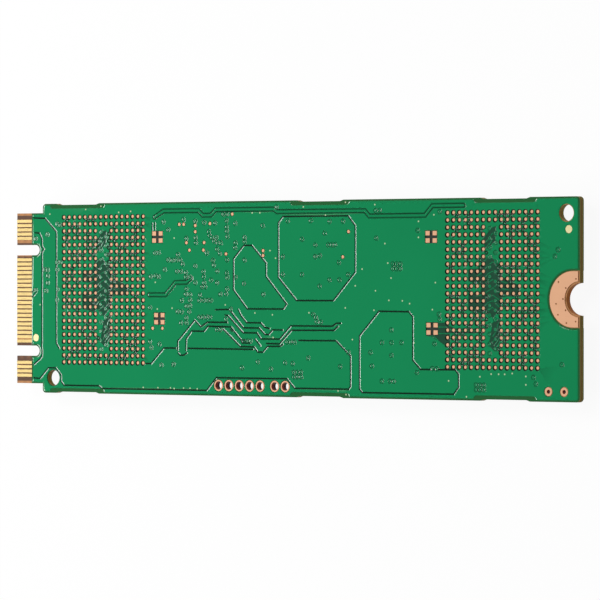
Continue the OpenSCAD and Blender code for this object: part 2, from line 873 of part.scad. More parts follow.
module load_switch_leads() {
    side_y = switch_w / 2;
    high = switch_lead_z + switch_lead_t;
    reach = side_y + switch_lead_run;
    knee = side_y + switch_knee;
    color("silver")
        on_front(switch_place)
            for (s = [-1, 1], i = [-1:1])
                translate([i * switch_pitch - s * switch_lead_w / 2, 0, 0])
                    rotate(s > 0 ? 0 : 180)
                        rotate([90, 0, 90])
                            linear_extrude(switch_lead_w)
                                polygon([
                                    [side_y, switch_lead_z], [knee, switch_lead_z],
                                    [knee + switch_knee, 0], [reach, 0], [reach, switch_lead_t],
                                    [knee + 1.7 * switch_knee, switch_lead_t],
                                    [knee + 0.7 * switch_knee, high], [side_y, high]
                                ]);
}

// Chip parts: a ceramic block between two metal ends, with solder climbing each end.
module chip_body(l, w, t) {
    translate([-l / 2 + end_share * l, -w / 2 + chip_step, chip_step])
        cube([l - 2 * end_share * l, w - 2 * chip_step, t - 2 * chip_step]);
}

module chip_ends(l, w, t) {
    for (s = [-1, 1])
        translate([s * (l - end_share * l) / 2, 0, t / 2])
            cube([end_share * l, w, t], center = true);
}

module chip_fillets(l, w, t) {
    rise = fillet_share * t;
    for (s = [-1, 1])
        translate([s * l / 2, w / 2, 0])
            rotate([90, 0, 0])
                linear_extrude(w)
                    polygon([[0, 0], [s * fillet_l, 0], [s * 0.35 * fillet_l, 0.35 * rise], [0, rise]]);
}

module chip_lands(l, w, grow) {
    inner = l / 2 - end_share * l - land_tuck;
    outer = l / 2 + fillet_l + land_tuck;
    for (s = [-1, 1])
        translate([s * (inner + outer) / 2, 0])
            block(outer - inner + 2 * grow, w + 2 * land_tuck + 2 * grow);
}

// Flat outlines of the lands on the front, drawn upside down in the same way as what stands on them.
module mirrored(place) {
    translate([place[0], place[1]])
        mirror([0, 1])
            rotate(place[2])
                children();
}

module front_chip_lands(grow) {
    for (p = concat(capacitor_places, resistor_places))
        mirrored(p)
            chip_lands(chip_l, chip_w, grow);
    for (p = bulk_places)
        mirrored(p)
            chip_lands(bulk_l, bulk_w, grow);
    for (p = inductor_places, s = [-1, 1])
        mirrored(p)
            translate([s * (inductor_w - strap_l + land_tuck) / 2, 0])
                block(strap_l + land_tuck + 2 * grow, strap_w + 2 * land_tuck + 2 * grow);
    mirrored(manager_place) {
        for (a = [0:90:270], i = [0:manager_count - 1])
            rotate(a)
                translate([
                    (i - (manager_count - 1) / 2) * manager_pitch,
                    (manager_lead_l - manager_w - land_tuck) / 2
                ])
                    block(manager_lead_w + 2 * grow / 2, manager_lead_l + land_tuck + 2 * grow);
        block(manager_pad + 2 * grow, manager_pad + 2 * grow);
    }
    mirrored(oscillator_place)
        for (sx = [-1, 1], sy = [-1, 1])
            translate([
                sx * (oscillator_l - oscillator_pad_l + land_tuck) / 2,
                sy * (oscillator_w - oscillator_pad_w + land_tuck) / 2
            ])
                block(oscillator_pad_l + land_tuck + 2 * grow, oscillator_pad_w + land_tuck + 2 * grow);
    mirrored(switch_place)
        for (s = [-1, 1], i = [-1:1])
            translate([i * switch_pitch, s * (switch_w / 2 + switch_lead_run - switch_foot / 2)])
                block(switch_lead_w + 2 * land_tuck + 2 * grow, switch_foot + 2 * land_tuck + 2 * grow);
}

module front_package_lands(grow) {
    for (p = [memory_a_place, memory_b_place])
        mirrored(p)
            grid_circles(grid_land_d + 2 * grow);
    mirrored(controller_place)
        for (p = controller_grid)
            translate(p)
                circle(logic_land_d / 2 + grow);
    mirrored(cache_place)
        for (p = cache_grid)
            translate(p)
                circle(logic_land_d / 2 + grow);
}

module solder_mask_front() {
    color("seagreen")
        translate([0, 0, front_z])
            linear_extrude(mask_t)
                difference() {
                    masked_area();
                    shared_openings();
                    front_package_lands(mask_gap);
                    front_chip_lands(mask_gap);
                }
}

module package_lands_front() {
    color("lightsalmon")
        translate([0, 0, front_land_z])
            linear_extrude(land_t)
                front_package_lands(0);
}

module chip_lands_front() {
    color("lightsalmon")
        translate([0, 0, front_land_z])
            linear_extrude(land_t)
                front_chip_lands(0);
}

module capacitor_bodies() {
    color("burlywood")
        for (p = capacitor_places)
            on_front(p)
                chip_body(chip_l, chip_w, capacitor_t);
}

module capacitor_terminals() {
    color("silver")
        for (p = capacitor_places)
            on_front(p)
                chip_ends(chip_l, chip_w, capacitor_t);
}

module bulk_capacitor_bodies() {
    color("rosybrown")
        for (p = bulk_places)
            on_front(p)
                chip_body(bulk_l, bulk_w, bulk_w);
}

module bulk_capacitor_terminals() {
    color("silver")
        for (p = bulk_places)
            on_front(p)
                chip_ends(bulk_l, bulk_w, bulk_w);
}

module resistor_bodies() {
    color("darkslategray")
        for (p = resistor_places)
            on_front(p)
                chip_body(chip_l, chip_w, resistor_t);
}

module resistor_terminals() {
    color("silver")
        for (p = resistor_places)
            on_front(p)
                chip_ends(chip_l, chip_w, resistor_t);
}

module solder_fillets() {
    color("gainsboro") {
        for (p = capacitor_places)
            on_front(p)
                chip_fillets(chip_l, chip_w, capacitor_t);
        for (p = resistor_places)
            on_front(p)
                chip_fillets(chip_l, chip_w, resistor_t);
        for (p = bulk_places)
            on_front(p)
                chip_fillets(bulk_l, bulk_w, bulk_w);
    }
}

module inductor_cores() {
    color("gray")
        for (p = inductor_places)
            on_front(p)
                inductor_core();
}

module inductor_terminals() {
    color("silver")
        for (p = inductor_places)
            on_front(p)
                inductor_straps();
}

laminate();
solder_mask_back();
solder_mask_front();
contact_fingers(back_fingers, core_top);  // contact_fingers_back
contact_fingers(front_fingers, front_land_z);  // contact_fingers_front
memory_lands_back(memory_a_x);  // memory_lands_back_a
memory_lands_back(memory_b_x);  // memory_lands_back_b
capacitor_lands_back();
test_lands_back();
fiducials_back();
screw_land(core_top);  // screw_land_back
screw_land(front_land_z);  // screw_land_front
header_eyelets();
corner_eyelets();
memory_balls(memory_a_place);  // memory_balls_a
memory_substrate(memory_a_place);  // memory_substrate_a
memory_mould(memory_a_place);  // memory_mould_a
memory_balls(memory_b_place);  // memory_balls_b
memory_substrate(memory_b_place);  // memory_substrate_b
memory_mould(memory_b_place);  // memory_mould_b
logic_balls(controller_place, controller_grid);  // controller_balls
controller_substrate();
controller_mould();
logic_balls(cache_place, cache_grid);  // cache_balls
cache_substrate();
cache_mould();
power_manager_mould();
power_manager_terminals();
inductor_cores();
inductor_terminals();
oscillator_base();
oscillator_lid();
oscillator_terminals();
load_switch_body();
load_switch_leads();
capacitor_bodies();
capacitor_terminals();
bulk_capacitor_bodies();
bulk_capacitor_terminals();
resistor_bodies();
resistor_terminals();
package_lands_front();
chip_lands_front();
solder_fillets();
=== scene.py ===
"""Looks of a gumstick solid state drive, lying on its memory packages with its bare back up."""

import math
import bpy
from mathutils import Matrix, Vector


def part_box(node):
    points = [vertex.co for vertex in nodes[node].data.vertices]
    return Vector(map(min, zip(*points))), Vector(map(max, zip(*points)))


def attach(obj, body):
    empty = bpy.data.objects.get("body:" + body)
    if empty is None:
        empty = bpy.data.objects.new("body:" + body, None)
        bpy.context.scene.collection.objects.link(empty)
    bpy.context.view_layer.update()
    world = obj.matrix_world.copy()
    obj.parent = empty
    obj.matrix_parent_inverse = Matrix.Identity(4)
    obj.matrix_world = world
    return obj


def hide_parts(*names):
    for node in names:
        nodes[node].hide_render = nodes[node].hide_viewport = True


bl_info = {
    "name": "Gumstick Drive Finish",
    "version": (1, 0, 0),
    "blender": (4, 5, 0),
    "location": "3D View > Sidebar > Drive",
    "description": "Dresses the drive's solids with mask relief, plated metal, laminate and moulded packages",
    "category": "Object",
}

import bmesh
import bpy
import numpy as np
from bpy.props import FloatProperty, FloatVectorProperty, IntProperty, PointerProperty
from mathutils import Matrix, Vector
from mathutils.bvhtree import BVHTree
from mathutils.geometry import delaunay_2d_cdt

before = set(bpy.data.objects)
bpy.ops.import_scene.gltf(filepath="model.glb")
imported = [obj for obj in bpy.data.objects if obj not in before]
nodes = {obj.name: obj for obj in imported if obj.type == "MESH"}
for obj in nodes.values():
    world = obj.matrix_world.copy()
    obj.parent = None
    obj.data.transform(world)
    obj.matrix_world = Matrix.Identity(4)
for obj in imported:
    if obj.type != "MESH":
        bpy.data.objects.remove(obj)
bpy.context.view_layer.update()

MM = 0.001

# Heights of the board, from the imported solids.
CORE_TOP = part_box("laminate")[1].z
BACK_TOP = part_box("solder_mask_back")[1].z
BOARD_LOW, BOARD_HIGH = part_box("laminate")
GRID_A_LOW, GRID_A_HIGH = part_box("memory_lands_back_a")
GRID_B_LOW, GRID_B_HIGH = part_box("memory_lands_back_b")
SCREW_LAND_LOW, SCREW_LAND_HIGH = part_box("screw_land_back")

# The memory grids: columns, rows, pitch and the two middle columns left empty between the outer rows.
GRID_COLUMNS = 16
GRID_ROWS = 22
GRID_PITCH = 0.8
GRID_FULL_ROWS = 2


def grid_centre(low, high):
    """Middle of a land grid in millimetres."""
    return ((low.x + high.x) / 2 / MM, (low.y + high.y) / 2 / MM)


GRID_A = grid_centre(GRID_A_LOW, GRID_A_HIGH)
GRID_B = grid_centre(GRID_B_LOW, GRID_B_HIGH)

# Where the fingers end, and the strips of paler laminate along the tongue's long edges and its keys.
FINGER_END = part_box("contact_fingers_back")[1].x / MM
TONGUE_RIMS = [(-9.95, -9.65), (-6.45, -6.1), (-4.9, -4.6), (4.9, 5.25), (6.45, 6.8), (9.65, 9.95)]

# Half the width of the strip across the board that the screw notch's wall lies in.
NOTCH_REACH = 1.9

# Everything below that lies on the back is in millimetres, as it is on the board.
# Gaps round the copper areas, closed and open.
CLOSED_GAPS = [
    [(-0.95, 8.5), (-0.3, 9.2), (8.9, 9.2), (9.9, 8.1), (9.9, 2.95), (6.85, -0.2), (1.65, -0.2),
     (-0.95, 2.4)],
    [(-7.4, 4.5), (-5.9, 6), (-4.75, 6), (-2.7, 4), (-2.7, 2.5), (0.25, -0.6), (-0.2, -1.15), (-5.4, -1.15),
     (-7.4, 1)],
    [(10.5, -4.1), (13.2, -1.35), (17.3, -1.4), (17.85, -1.95), (17.85, -6.7), (18.9, -7.7), (23.6, -7.7),
     (24.05, -8.2), (24.05, -9.6), (23.4, -10.35), (10.9, -10.35), (10.5, -9.95)],
]
OPEN_GAPS = [
    [(-37.35, -7.75), (-36.9, -7.4), (-36.4, -7.1), (-36.1, -6.75), (-36.05, -6.1), (-36.15, -5.6),
     (-36.1, -5),
     (-36.1, 5.4), (-35.8, 5.72), (-36.1, 6.05), (-36.1, 6.9), (-36.5, 7.6), (-37.2, 7.65)],
    [(-37.4, 9.38), (-35.65, 9.32), (-33.9, 7.75), (-33.9, -5.2), (-33.4, -5.85)],
    [(-37.35, -9.3), (-36.4, -9.35), (-35.1, -8.1), (-33.95, -8.1), (-33.15, -8.9), (-33.15, -9.65),
     (-32.7, -10.1), (-27.4, -10.1), (-26.9, -10.4), (-11.27, -10.4), (-9.87, -8.95), (0.3, -8.95),
     (1.4, -10),
     (9, -10), (9.25, -9.7), (9.25, -6.3), (7.2, -4.65), (2, -4.65)],
    [(-20.3, -7.45), (-19.5, -7.45), (-17.6, -5.65), (-15.8, -5.65)],
    [(-14, -5.66), (-4.55, -5.7)],
    [(-15.55, -5.9), (-15.55, -4.85), (-13.05, -2.45), (-12.15, -3.2), (-11.2, -2.67), (-8.3, -2.68)],
    [(-14.35, -5.9), (-14.3, -4.6), (-13.5, -3.7), (-11.7, -3.7), (-11.1, -3.13), (-7.75, -3.2),
     (-6.3, -4.65),
     (-6.1, -5), (-5, -5)],
    [(-15.5, -6.2), (-15.2, -6.45), (-14.7, -6.45), (-14.2, -6.2)],
    [(-10, -1.25), (-8, -1.22), (-5.95, -3.28), (-3.7, -3.3), (-2.85, -4.02), (-2.3, -4.02), (-1.75, -3.5),
     (-0.3, -3.5)],
    [(-8.6, -1.85), (-8.2, -1.9), (-6, -3.85), (-4, -3.85), (-3.4, -4.52), (-0.75, -4.52), (0.85, -3.03),
     (6.7, -3.03), (7.3, -2.7), (7.9, -2.7)],
    [(-6.7, -1.2), (-6.3, -1.9), (-5.5, -2.7), (-3.45, -2.72), (-2.9, -3.2), (-2.2, -3.35)],
    [(-8.9, -3.45), (-8.1, -4.05), (-6.4, -5.4), (-4.4, -5.43), (-3.9, -6), (-3.15, -6), (-2.45, -5.35),
     (-0.65, -5.33), (-0.3, -5.1)],
    [(-2.6, -5.03), (-0.75, -5.05), (0.95, -3.52), (6.9, -3.5), (7.5, -3.05)],
    [(-4.25, -4.55), (-3.5, -5.3)],
    [(-19.35, 8.6), (-19.35, 7.85)], [(-18.95, 8.65), (-18.95, 7.85)],
]

# Traces that run over a cleared strip, so that a gap shows along each side.
TRACES = [
    [(-19, 9.3), (-17.65, 10), (-12.5, 10), (-11.9, 9.45), (-10.7, 9.45), (-10, 10.05), (-1.6, 10.05),
     (-1.15, 9.75), (11.25, 9.75), (11.85, 9.15), (19.5, 9.15), (20.5, 10.2), (24.7, 10.2)],
    [(-19.8, 0.42), (-17.35, 0.42), (-15.9, 1.85), (-14.3, 1.85), (-13.6, 2.3)],
    [(-37.6, 0.4), (-37.1, 0.9)],
]

# Covered vias, each a low rim with a dimple, singly and in clusters of columns by rows.
VIAS = [
    (-33.8, 8.65), (-33.35, 8.5), (-33.8, 4.2), (-33.3, 4.2), (-33.8, 3.35), (-33.75, 1.05), (-33.8, -0.2),
    (-35.3, 7.45), (-37.1, 6.95), (-35.75, 3.35), (-35.25, 3.3), (-35.25, 2.6), (-35.25, 1.8), (-35.5, 0.9),
    (-37.05, 0.95),
    (-19.6, 2.5), (-18.9, 2.6), (-18.45, 2.5), (-19.7, -1.05), (-19.7, -4.95), (-19.5, -5.6), (-18.3, -5.2),
    (-18, -7.6), (-16.2, -7.5), (-17.7, 8.75), (-17, 7.85), (-18.95, 5.2), (-18.4, 5.25), (-17.5, 3.3),
    (-17, 4.4), (-16.4, 4.35), (-15.8, 4.4), (-15.2, 4.35), (-15.55, 5), (-14.85, 3.9), (-15.7, 3.1),
    (-15.1, 3.1), (-14.4, 2.95), (-14.4, 2.45), (-13.8, 2.45), (-13, 3.7), (-13, 1.8), (-14.3, 1.1),
    (-14.4, 0.5), (-13.75, 0.45), (-15, -0.2), (-13.75, -0.2), (-14.3, -0.85), (-13.75, -0.85),
    (-15.6, -1.5), (-15, -1.5), (-13.9, -1.5), (-14.3, -2.2), (-14.3, -2.75), (-15.1, -2.75),
    (-11.8, 3.05), (-9.75, 3.1), (-11.75, 2.5), (-11.7, 1.8), (-11.55, 1.35), (-12, 1.35), (-10.7, 2.1),
    (-12.3, 0.4), (-12.4, -0.2), (-11.8, -0.2), (-11.2, -0.2), (-10.7, -0.2), (-9.8, 1.8), (-9.3, 0.5),
    (-8.5, 0.55), (-8.35, 1.1), (-8.4, 2.9), (-8.3, 2.4), (-10.4, 4.35), (-10.3, 3.8), (-8.35, 4.4),
    (-9.9, 6.9), (-9.7, 6.3), (-9.25, 6.3), (-9.8, 5.6), (-9.4, 5.1), (-10.6, 6.9), (-10.25, 6.5),
    (-11, 7.6), (-10.9, 7.15), (-11.7, 8.6), (-10.1, 8.55), (-8.4, 8.8), (-8.4, 8.1), (-8.4, 7.6),
    (-8.3, 7),
    (-13, 8.8), (-12.95, 6.9), (-12.9, 6.35), (-14.3, 6.85), (-14.7, 9), (-7.1, 6.3), (-7.2, 5.75),
    (-11.3, 5.15), (-12.4, -2.1), (-11.85, -2.1), (-11.3, -2.1), (-10.8, -2.1), (-8.5, -2.3), (-9.8, -3.5),
    (-9.3, -3.5), (-8.9, 9.55), (-8.35, 9.55), (-7.15, 8.5), (-3.2, 8.2), (-5.8, 6.9), (-5.8, 6.4),
    (-5.8, 4.35), (-5.9, 1.7), (-3.1, 0.5), (-7.1, 2.4), (0.4, 8.7), (3.65, 8.7), (2.4, 6.65), (5.6, 7.3),
    (4.3, 6), (4.3, 4.7), (4.95, 4.8), (2.4, 2.7), (-0.3, 4.7), (-0.3, 2.7), (4.9, 1.4), (-6.2, -7.8),
    (-3.9, -7.1), (-2, -7.9), (0, -7.15), (1.1, -7.25), (3.3, -6.6), (4.4, -2.1), (4, -1.75), (5.1, -2.6),
    (4.5, -2.55), (-5.4, -4.75), (-4.9, -4.75), (-1.2, 10.3), (-7.8, -1.2), (6.3, 8.6), (8.2, 8.6),
    (6.1, 6), (6.6, 6), (7.1, 6), (7.6, 4.05), (8.9, 2.7), (6.3, 2.1), (7.7, 2.1), (12.7, 9.75),
    (13.3, 9.75), (18.5, 7.5), (12.8, 6.7), (14.9, -3.4), (14.9, -4.8), (13.6, -4.8), (16.3, -4.8),
    (12, -5.9), (14.9, -6.2), (12.2, -7.4), (8.95, -5.9), (7.8, -7.5), (13.6, -9.05), (14.7, -9.05),
    (15.25, -9.05), (18.4, -8.05), (20.5, -7.6), (21.1, -7.6), (21.5, 9.55), (21.4, -1.65), (21.5, -2.2),
    (20.8, -4.9), (34, -8.4), (34.3, -9.1), (37.7, -7), (36.8, 4.6), (37.2, 5.3),
]
VIA_CLUSTERS = [
    # (left, top, columns, rows)
    (1.25, -8.2, 3, 2), (15.1, 3.85, 3, 2), (26.4, -9.3, 3, 2), (0.3, -4.85, 3, 1),
]
VIA_CLUSTER_PITCH = 0.52
SCREW_LAND_VIAS = [
    (37.25, 1.85), (38.15, 1.25), (39.65, 2.25), (37.75, 0.1), (36.85, -0.45), (38.2, -1.1),
    (37.15, -1.6), (38.3, -2.55), (39.65, -2.35),
]
# Pale pinholes, where the coating is thin over a small via.
PINHOLES = [
    (14, 6.1), (14.85, 2.3), (14.4, 3.95), (10.85, 3.3), (9.9, 1.45), (12.7, 0.9), (14.55, -0.15),
    (16.4, -0.2), (17.4, -0.5), (20.5, -1.15), (8.5, -1), (12.5, -1.25), (9.5, -4.5), (8.5, 10.7),
    (12.6, 10.4), (18.6, 8.5), (18.6, 6.75), (-1.8, -1.8), (-4.3, -1.6), (-8.6, -0.7), (-16.4, -1.1),
    (-18.6, -1.2), (-16.1, 6.9), (-1.35, 4.55), (-2.15, 5.4), (-4.7, 9.65), (-3.6, 9.65), (2.6, 10.25),
    (5.7, 9.3), (3.4, -1.55), (-29.4, 10.3), (-27.1, 10.65), (-24.4, 9.9), (-22.6, 10), (20.7, 9.2),
    (33, -8.3), (33, -9.2), (28.4, -8.1), (29.4, -8.1), (30.2, -8.1), (31.2, -8), (26.9, -8.4),
    (25.1, -10.6), (22.7, -8.9), (-1.7, -4.35), (20.9, 1.8), (-18.9, 1.85), (7.5, -10.2), (8.6, -10.6),
    (18, -4.8), (-34.9, 9.8), (-36.4, -0.75), (-20.7, -10.2), (-18.5, -10.2), (-16.65, -10.2),
    (-16.1, -10.25),
    (-14.7, -10.2), (-13.75, -10.2), (-12.7, -10.25),
]

# Routing inside a memory grid, from its middle. Cleared areas, then the traces that cross them.
GRID_CLEARINGS = [
    [(-0.2, 3.6), (1, 2.6), (1.3, 1.4), (3.6, 0.4), (3.6, -0.6), (1.3, -0.8), (1.2, -1.9), (0.1, -3.1),
     (-1, -2.2), (-1.4, -2.6), (-3.2, -2.2), (-3.2, -0.4), (-1.6, -0.2), (-1.4, 0.6), (-3.2, 0.9),
     (-3.2, 2.2),
     (-1.6, 2.3), (-1.2, 3.4)],
    [(-1.2, 5.6), (-0.3, 6.6), (0.5, 6.9), (0.4, 5.4), (-0.4, 4.6), (-1, 4.4)],
    [(0, -3.6), (1, -3.1), (1, -5.6), (0.2, -6.6), (-0.5, -6), (-0.2, -4.8)],
]
GRID_TRACES = [
    [(-2.1, 2.5), (-1.3, 2.9), (-0.7, 3.4), (-0.2, 3.9), (0.4, 3.4), (1.2, 2.7), (2, 2.3)],
    [(-2, 1.5), (-1.3, 1.9), (-0.6, 2.6), (0, 3), (0.6, 2.6), (1.2, 1.9), (2, 1.5)],
    [(-2.1, 0.75), (-1.3, 1), (-0.6, 1.7), (0, 2), (0.6, 1.6), (1.2, 0.9), (2, 0.7)],
    [(-2.1, 0.1), (-1.2, 0.2), (-0.5, 0.8), (0, 1.1), (0.6, 0.7), (1.3, 0.1), (2.1, 0)],
    [(-2.1, -0.7), (-1.2, -0.5), (-0.5, -0.1), (0.1, 0.2), (0.7, -0.2), (1.3, -0.5), (2.1, -0.7)],
    [(-2.1, -1.3), (-1.2, -1.2), (-0.5, -0.8), (0.1, -0.6), (0.6, -0.9), (1.3, -1.3), (2.1, -1.4)],
    [(-2.1, -2.1), (-1.3, -2), (-0.6, -1.4), (0, -1.2), (0.6, -1.6), (1.2, -2.1), (2.1, -2.2)],
    [(-2, -2.7), (-1.2, -2.8), (-0.6, -2.3), (0, -1.9), (0.6, -2.4), (1.3, -2.9), (2.1, -2.9)],
    [(1.9, -2.6), (1.2, -3.2), (0.7, -3.8), (0.6, -4.4), (0.1, -5)],
    [(1.9, -3.3), (1.3, -3.9), (1, -4.5), (0.5, -5.2), (0, -5.7)],
    [(1.9, -4.3), (1.3, -4.8), (0.8, -5.4), (0.3, -6)],
    [(2, -5), (1.4, -5.5), (0.9, -6), (0.2, -6.5)],
    [(-2, 3.4), (-1.3, 4), (-0.8, 4.6), (-0.3, 5), (0, 5.5)],
    [(-2, 4.4), (-1.2, 4.9), (-0.6, 5.4), (-0.1, 6), (0.3, 6.2)],
    [(-2, 5), (-1.3, 5.5), (-0.8, 6), (-0.3, 6.6), (0.4, 7)],
    [(3.9, 1.2), (4.3, 1.8), (4.3, 2.9), (4.7, 3.4)],
    [(5.2, 3.6), (5.6, 3), (5.6, 1.2), (5.2, 0.6)],
    [(5.2, -0.4), (5.6, -1.1), (5.6, -2.6), (5.2, -3.2)],
    [(-5.2, 6), (-5.6, 5.4), (-5.6, 4.2), (-5.2, 3.6)],
    [(-5.2, -0.4), (-5.6, -1), (-5.6, -3), (-5.2, -3.6)],
    [(-4, 5), (-4, 4), (-3.6, 3.4), (-3.6, 2.4)],
    [(-4.3, -2.8), (-4, -3.4), (-3.3, -3.7), (-2.4, -3.3)],
    [(-4.8, 7.6), (-4.3, 8), (-3.6, 7.3), (-3, 7.8)],
    [(3.2, -6.8), (3.8, -6.2), (4.4, -6.8), (5, -7.4)],
]
SPINE_COUNT = 27

# Relief round lands and vias, in millimetres. Cover is 1 over copper and 0 where it is etched away.
# The cleared ring round each land, coloured near black-green, sits shifted to the lower left of the land.
RING_SHIFT = (-0.06, -0.04)
RECESS_REACH = 0.9
CLEARED_COVER = 0.35
RUN_GAP_COVER = 0.25
DIMPLE_FLOOR = 0.04
DIMPLE_RADIUS = 0.1
DIMPLE_SLOPE = 0.06
DIMPLE_DEPTH = 0.5
LAND_OPENING_REACH = 0.35
PINHOLE_RINGS = (0.06, 0.12)
FAR = 1.2
RING_SLOPE = 0.05
# Two small cleared spots beside the long traces.
CLEARED_SPOTS = [
    [(-8, -3.4), (-7.6, -3.4), (-7.35, -3.7), (-7.7, -3.75)],
    [(-6.25, -4.55), (-5.65, -4.55), (-5.6, -4.85), (-6, -4.85)],
]
# The pair lands by the second grid and the traces from them into it.
PAIR_CLEARING = [(19.7, -2.5), (22.2, -2.6), (23.4, -3.2), (26.6, -3.25), (26.6, -3.7), (22.9, -3.8),
    (22.9, -4.9),
                 (22.2, -5), (20.4, -4.1), (19.7, -4)]
PAIR_TRACES = [
    [(20.9, -3.05), (22.4, -3.05), (23.2, -3.45), (26.4, -3.45)],
    [(21, -3.75), (26.4, -3.75), (26.8, -3.5)],
    [(20.2, -3.9), (21, -4.25), (22.3, -5.35), (25.8, -5.35), (26.3, -4.8)],
    [(20.1, 6.1), (20.9, 5.6), (21.4, 5.9)],
    [(-20.2, 6.3), (-19, 6.25), (-18.6, 6.4)],
]


# Sizes and colours that a user would change.
class DriveStageSettings(bpy.types.PropertyGroup):
    """Floor, light and camera."""

    lens: FloatProperty(
        name="Focal Length", description="Lens of the camera, in millimetres", default=279.9, min=50, max=500
    )
    eye: FloatVectorProperty(
        name="Camera Place",
        description="Camera's place from the middle of the back face",
        default=(0.3234, 0.00107, 0.40958),
        unit="LENGTH",
    )
    floor_size: FloatProperty(
        name="Floor Size", description="Side of the square floor", default=3.0, unit="LENGTH"
    )
    floor_colour: FloatVectorProperty(
        name="Floor Colour", description="Colour of the floor", default=(0.9, 0.9, 0.9), subtype="COLOR"
    )
    floor_glow: FloatProperty(
        name="Floor Whiteness",
        description="Share of plain white that the camera sees in the floor", default=0.93,
        min=0, max=1, subtype="FACTOR",
    )
    sky_strength: FloatProperty(
        name="Sky Strength", description="Strength of the even sky", default=0.2, min=0
    )
    key_power: FloatProperty(
        name="Key Power", description="Power of the long lamp at the card edge", default=5.0, unit="POWER"
    )
    fill_power: FloatProperty(
        name="Fill Power", description="Power of the lamp above", default=2.0, unit="POWER"
    )


class DriveMaskSettings(bpy.types.PropertyGroup):
    """Relief and colour of the green mask."""

    relief: FloatProperty(
        name="Relief",
        description="Height of a copper edge under the mask, in millimetres", default=0.027, min=0.005,
        max=0.04,
    )
    slope: FloatProperty(
        name="Edge Width",
        description="Width of a copper edge's slope, in millimetres", default=0.1, min=0.02,
        max=0.16,
    )
    gap: FloatProperty(
        name="Gap Width", description="Width of an etched gap, in millimetres", default=0.17, min=0.1, max=0.4
    )
    trace: FloatProperty(
        name="Trace Width",
        description="Width of a trace in a grid, in millimetres", default=0.11, min=0.08, max=0.3
    )
    run: FloatProperty(
        name="Run Width", description="Width of a long trace, in millimetres", default=0.26, min=0.1, max=0.4
    )
    clearance: FloatProperty(
        name="Land Clearance",
        description="Radius of the cleared ring round a land, in millimetres", default=0.285,
        min=0.24, max=0.4,
    )
    via: FloatProperty(
        name="Via Radius",
        description="Radius of a covered via's pad, in millimetres", default=0.2, min=0.1, max=0.3
    )
    grid_via: FloatProperty(
        name="Grid Via Radius",
        description="Radius of a via's pad between the lands of a grid, in millimetres",
        default=0.15, min=0.1, max=0.2,
    )
    grid_ring: FloatProperty(
        name="Grid Via Ring", description="Width of the cleared ring round such a via, in millimetres",
        default=0.07, min=0.05, max=0.2,
    )
    pull_back: FloatProperty(
        name="Copper Pull-back", description="Strip without copper along the board's edges, in millimetres",
        default=0.2, min=0.1, max=0.5,
    )
    recess_pull_back: FloatProperty(
        name="Recess Pull-back", description="Strip without copper along the edge recesses, in millimetres",
        default=0.42, min=0.2, max=0.6,
    )
    copper_colour: FloatVectorProperty(
        name="Mask over Copper",
        description="Mask colour over copper", default=(0.004, 0.235, 0.082), subtype="COLOR"
    )
    rim_colour: FloatVectorProperty(
        name="Mask along the Rim",
        description="Mask colour on the strip without copper along the board's edges",
        default=(0.02, 0.12, 0.035), subtype="COLOR",
    )
    # Near black-green where the copper is etched away: the mask's own darker colour over laminate, deepened
    # as painted shade of the grooves and land rings.
    bare_and_shade_colour: FloatVectorProperty(
        name="Mask over Laminate", description="Mask colour where the copper is etched away",
        default=(0.001, 0.01, 0.005), subtype="COLOR",
    )
    pinhole_colour: FloatVectorProperty(
        name="Mask at Pinholes", description="Colour of the small bright specks", default=(0.75, 0.85, 0.55),
        subtype="COLOR",
    )
    cleared_colour: FloatVectorProperty(
        name="Mask in Clearings", description="Mask colour on the wider clearings between the lands",
        default=(0.014, 0.075, 0.04), subtype="COLOR",
    )


class DriveMetalSettings(bpy.types.PropertyGroup):
    """Colours of the bare metal."""

    gold: FloatVectorProperty(
        name="Contact Gold", description="Gold plating of the contact fingers", default=(0.98, 0.72, 0.28),
        subtype="COLOR",
    )
    copper: FloatVectorProperty(
        name="Land Copper",
        description="Coated copper of the lands", default=(0.93, 0.51, 0.3), subtype="COLOR"
    )
    # Colour at the top of the bore walls; lower down it darkens to near black as painted shade.
    bore: FloatVectorProperty(
        name="Bore", description="Copper down the plated holes", default=(0.6, 0.09, 0.04), subtype="COLOR"
    )
    fiducial: FloatVectorProperty(
        name="Fiducial", description="Tinned alignment marks", default=(0.74, 0.66, 0.34), subtype="COLOR"
    )
    solder: FloatVectorProperty(
        name="Solder",
        description="Tin of balls, fillets and terminals", default=(0.62, 0.63, 0.64), subtype="COLOR"
    )


class DriveBodySettings(bpy.types.PropertyGroup):
    """Colours of laminate, packages and chip parts."""

    laminate: FloatVectorProperty(
        name="Laminate", description="Bare glass-epoxy", default=(0.17, 0.065, 0.022), subtype="COLOR"
    )
    laminate_rim: FloatVectorProperty(
        name="Laminate Rim",
        description="Laminate along the routed edges", default=(0.5, 0.22, 0.07), subtype="COLOR"
    )
    # Near black-green laminate in the openings round the lands: painted shade in place of the laminate's own
    # brown.
    opening_shade: FloatVectorProperty(
        name="Laminate in Openings",
        description="Laminate seen round the lands", default=(0.004, 0.014, 0.005),
        subtype="COLOR",
    )
    laminate_edge: FloatVectorProperty(
        name="Cut Edge",
        description="Routed edge of the laminate", default=(0.44, 0.36, 0.08), subtype="COLOR"
    )
    core_stripe: FloatVectorProperty(
        name="Core Stripe", description="Middle plies seen on the cut edge", default=(0.36, 0.16, 0.05),
        subtype="COLOR",
    )
    notch_wall: FloatVectorProperty(
        name="Notch Wall",
        description="Cut edge in the screw notch", default=(0.72, 0.24, 0.05), subtype="COLOR"
    )
    mould: FloatVectorProperty(
        name="Moulding", description="Black moulding compound", default=(0.022, 0.022, 0.024), subtype="COLOR"
    )
    substrate: FloatVectorProperty(
        name="Substrate", description="Package substrate", default=(0.02, 0.10, 0.035), subtype="COLOR"
    )
    bevel: FloatProperty(
        name="Edge Rounding", description="Rounding of package and chip edges", default=0.00003, unit="LENGTH"
    )


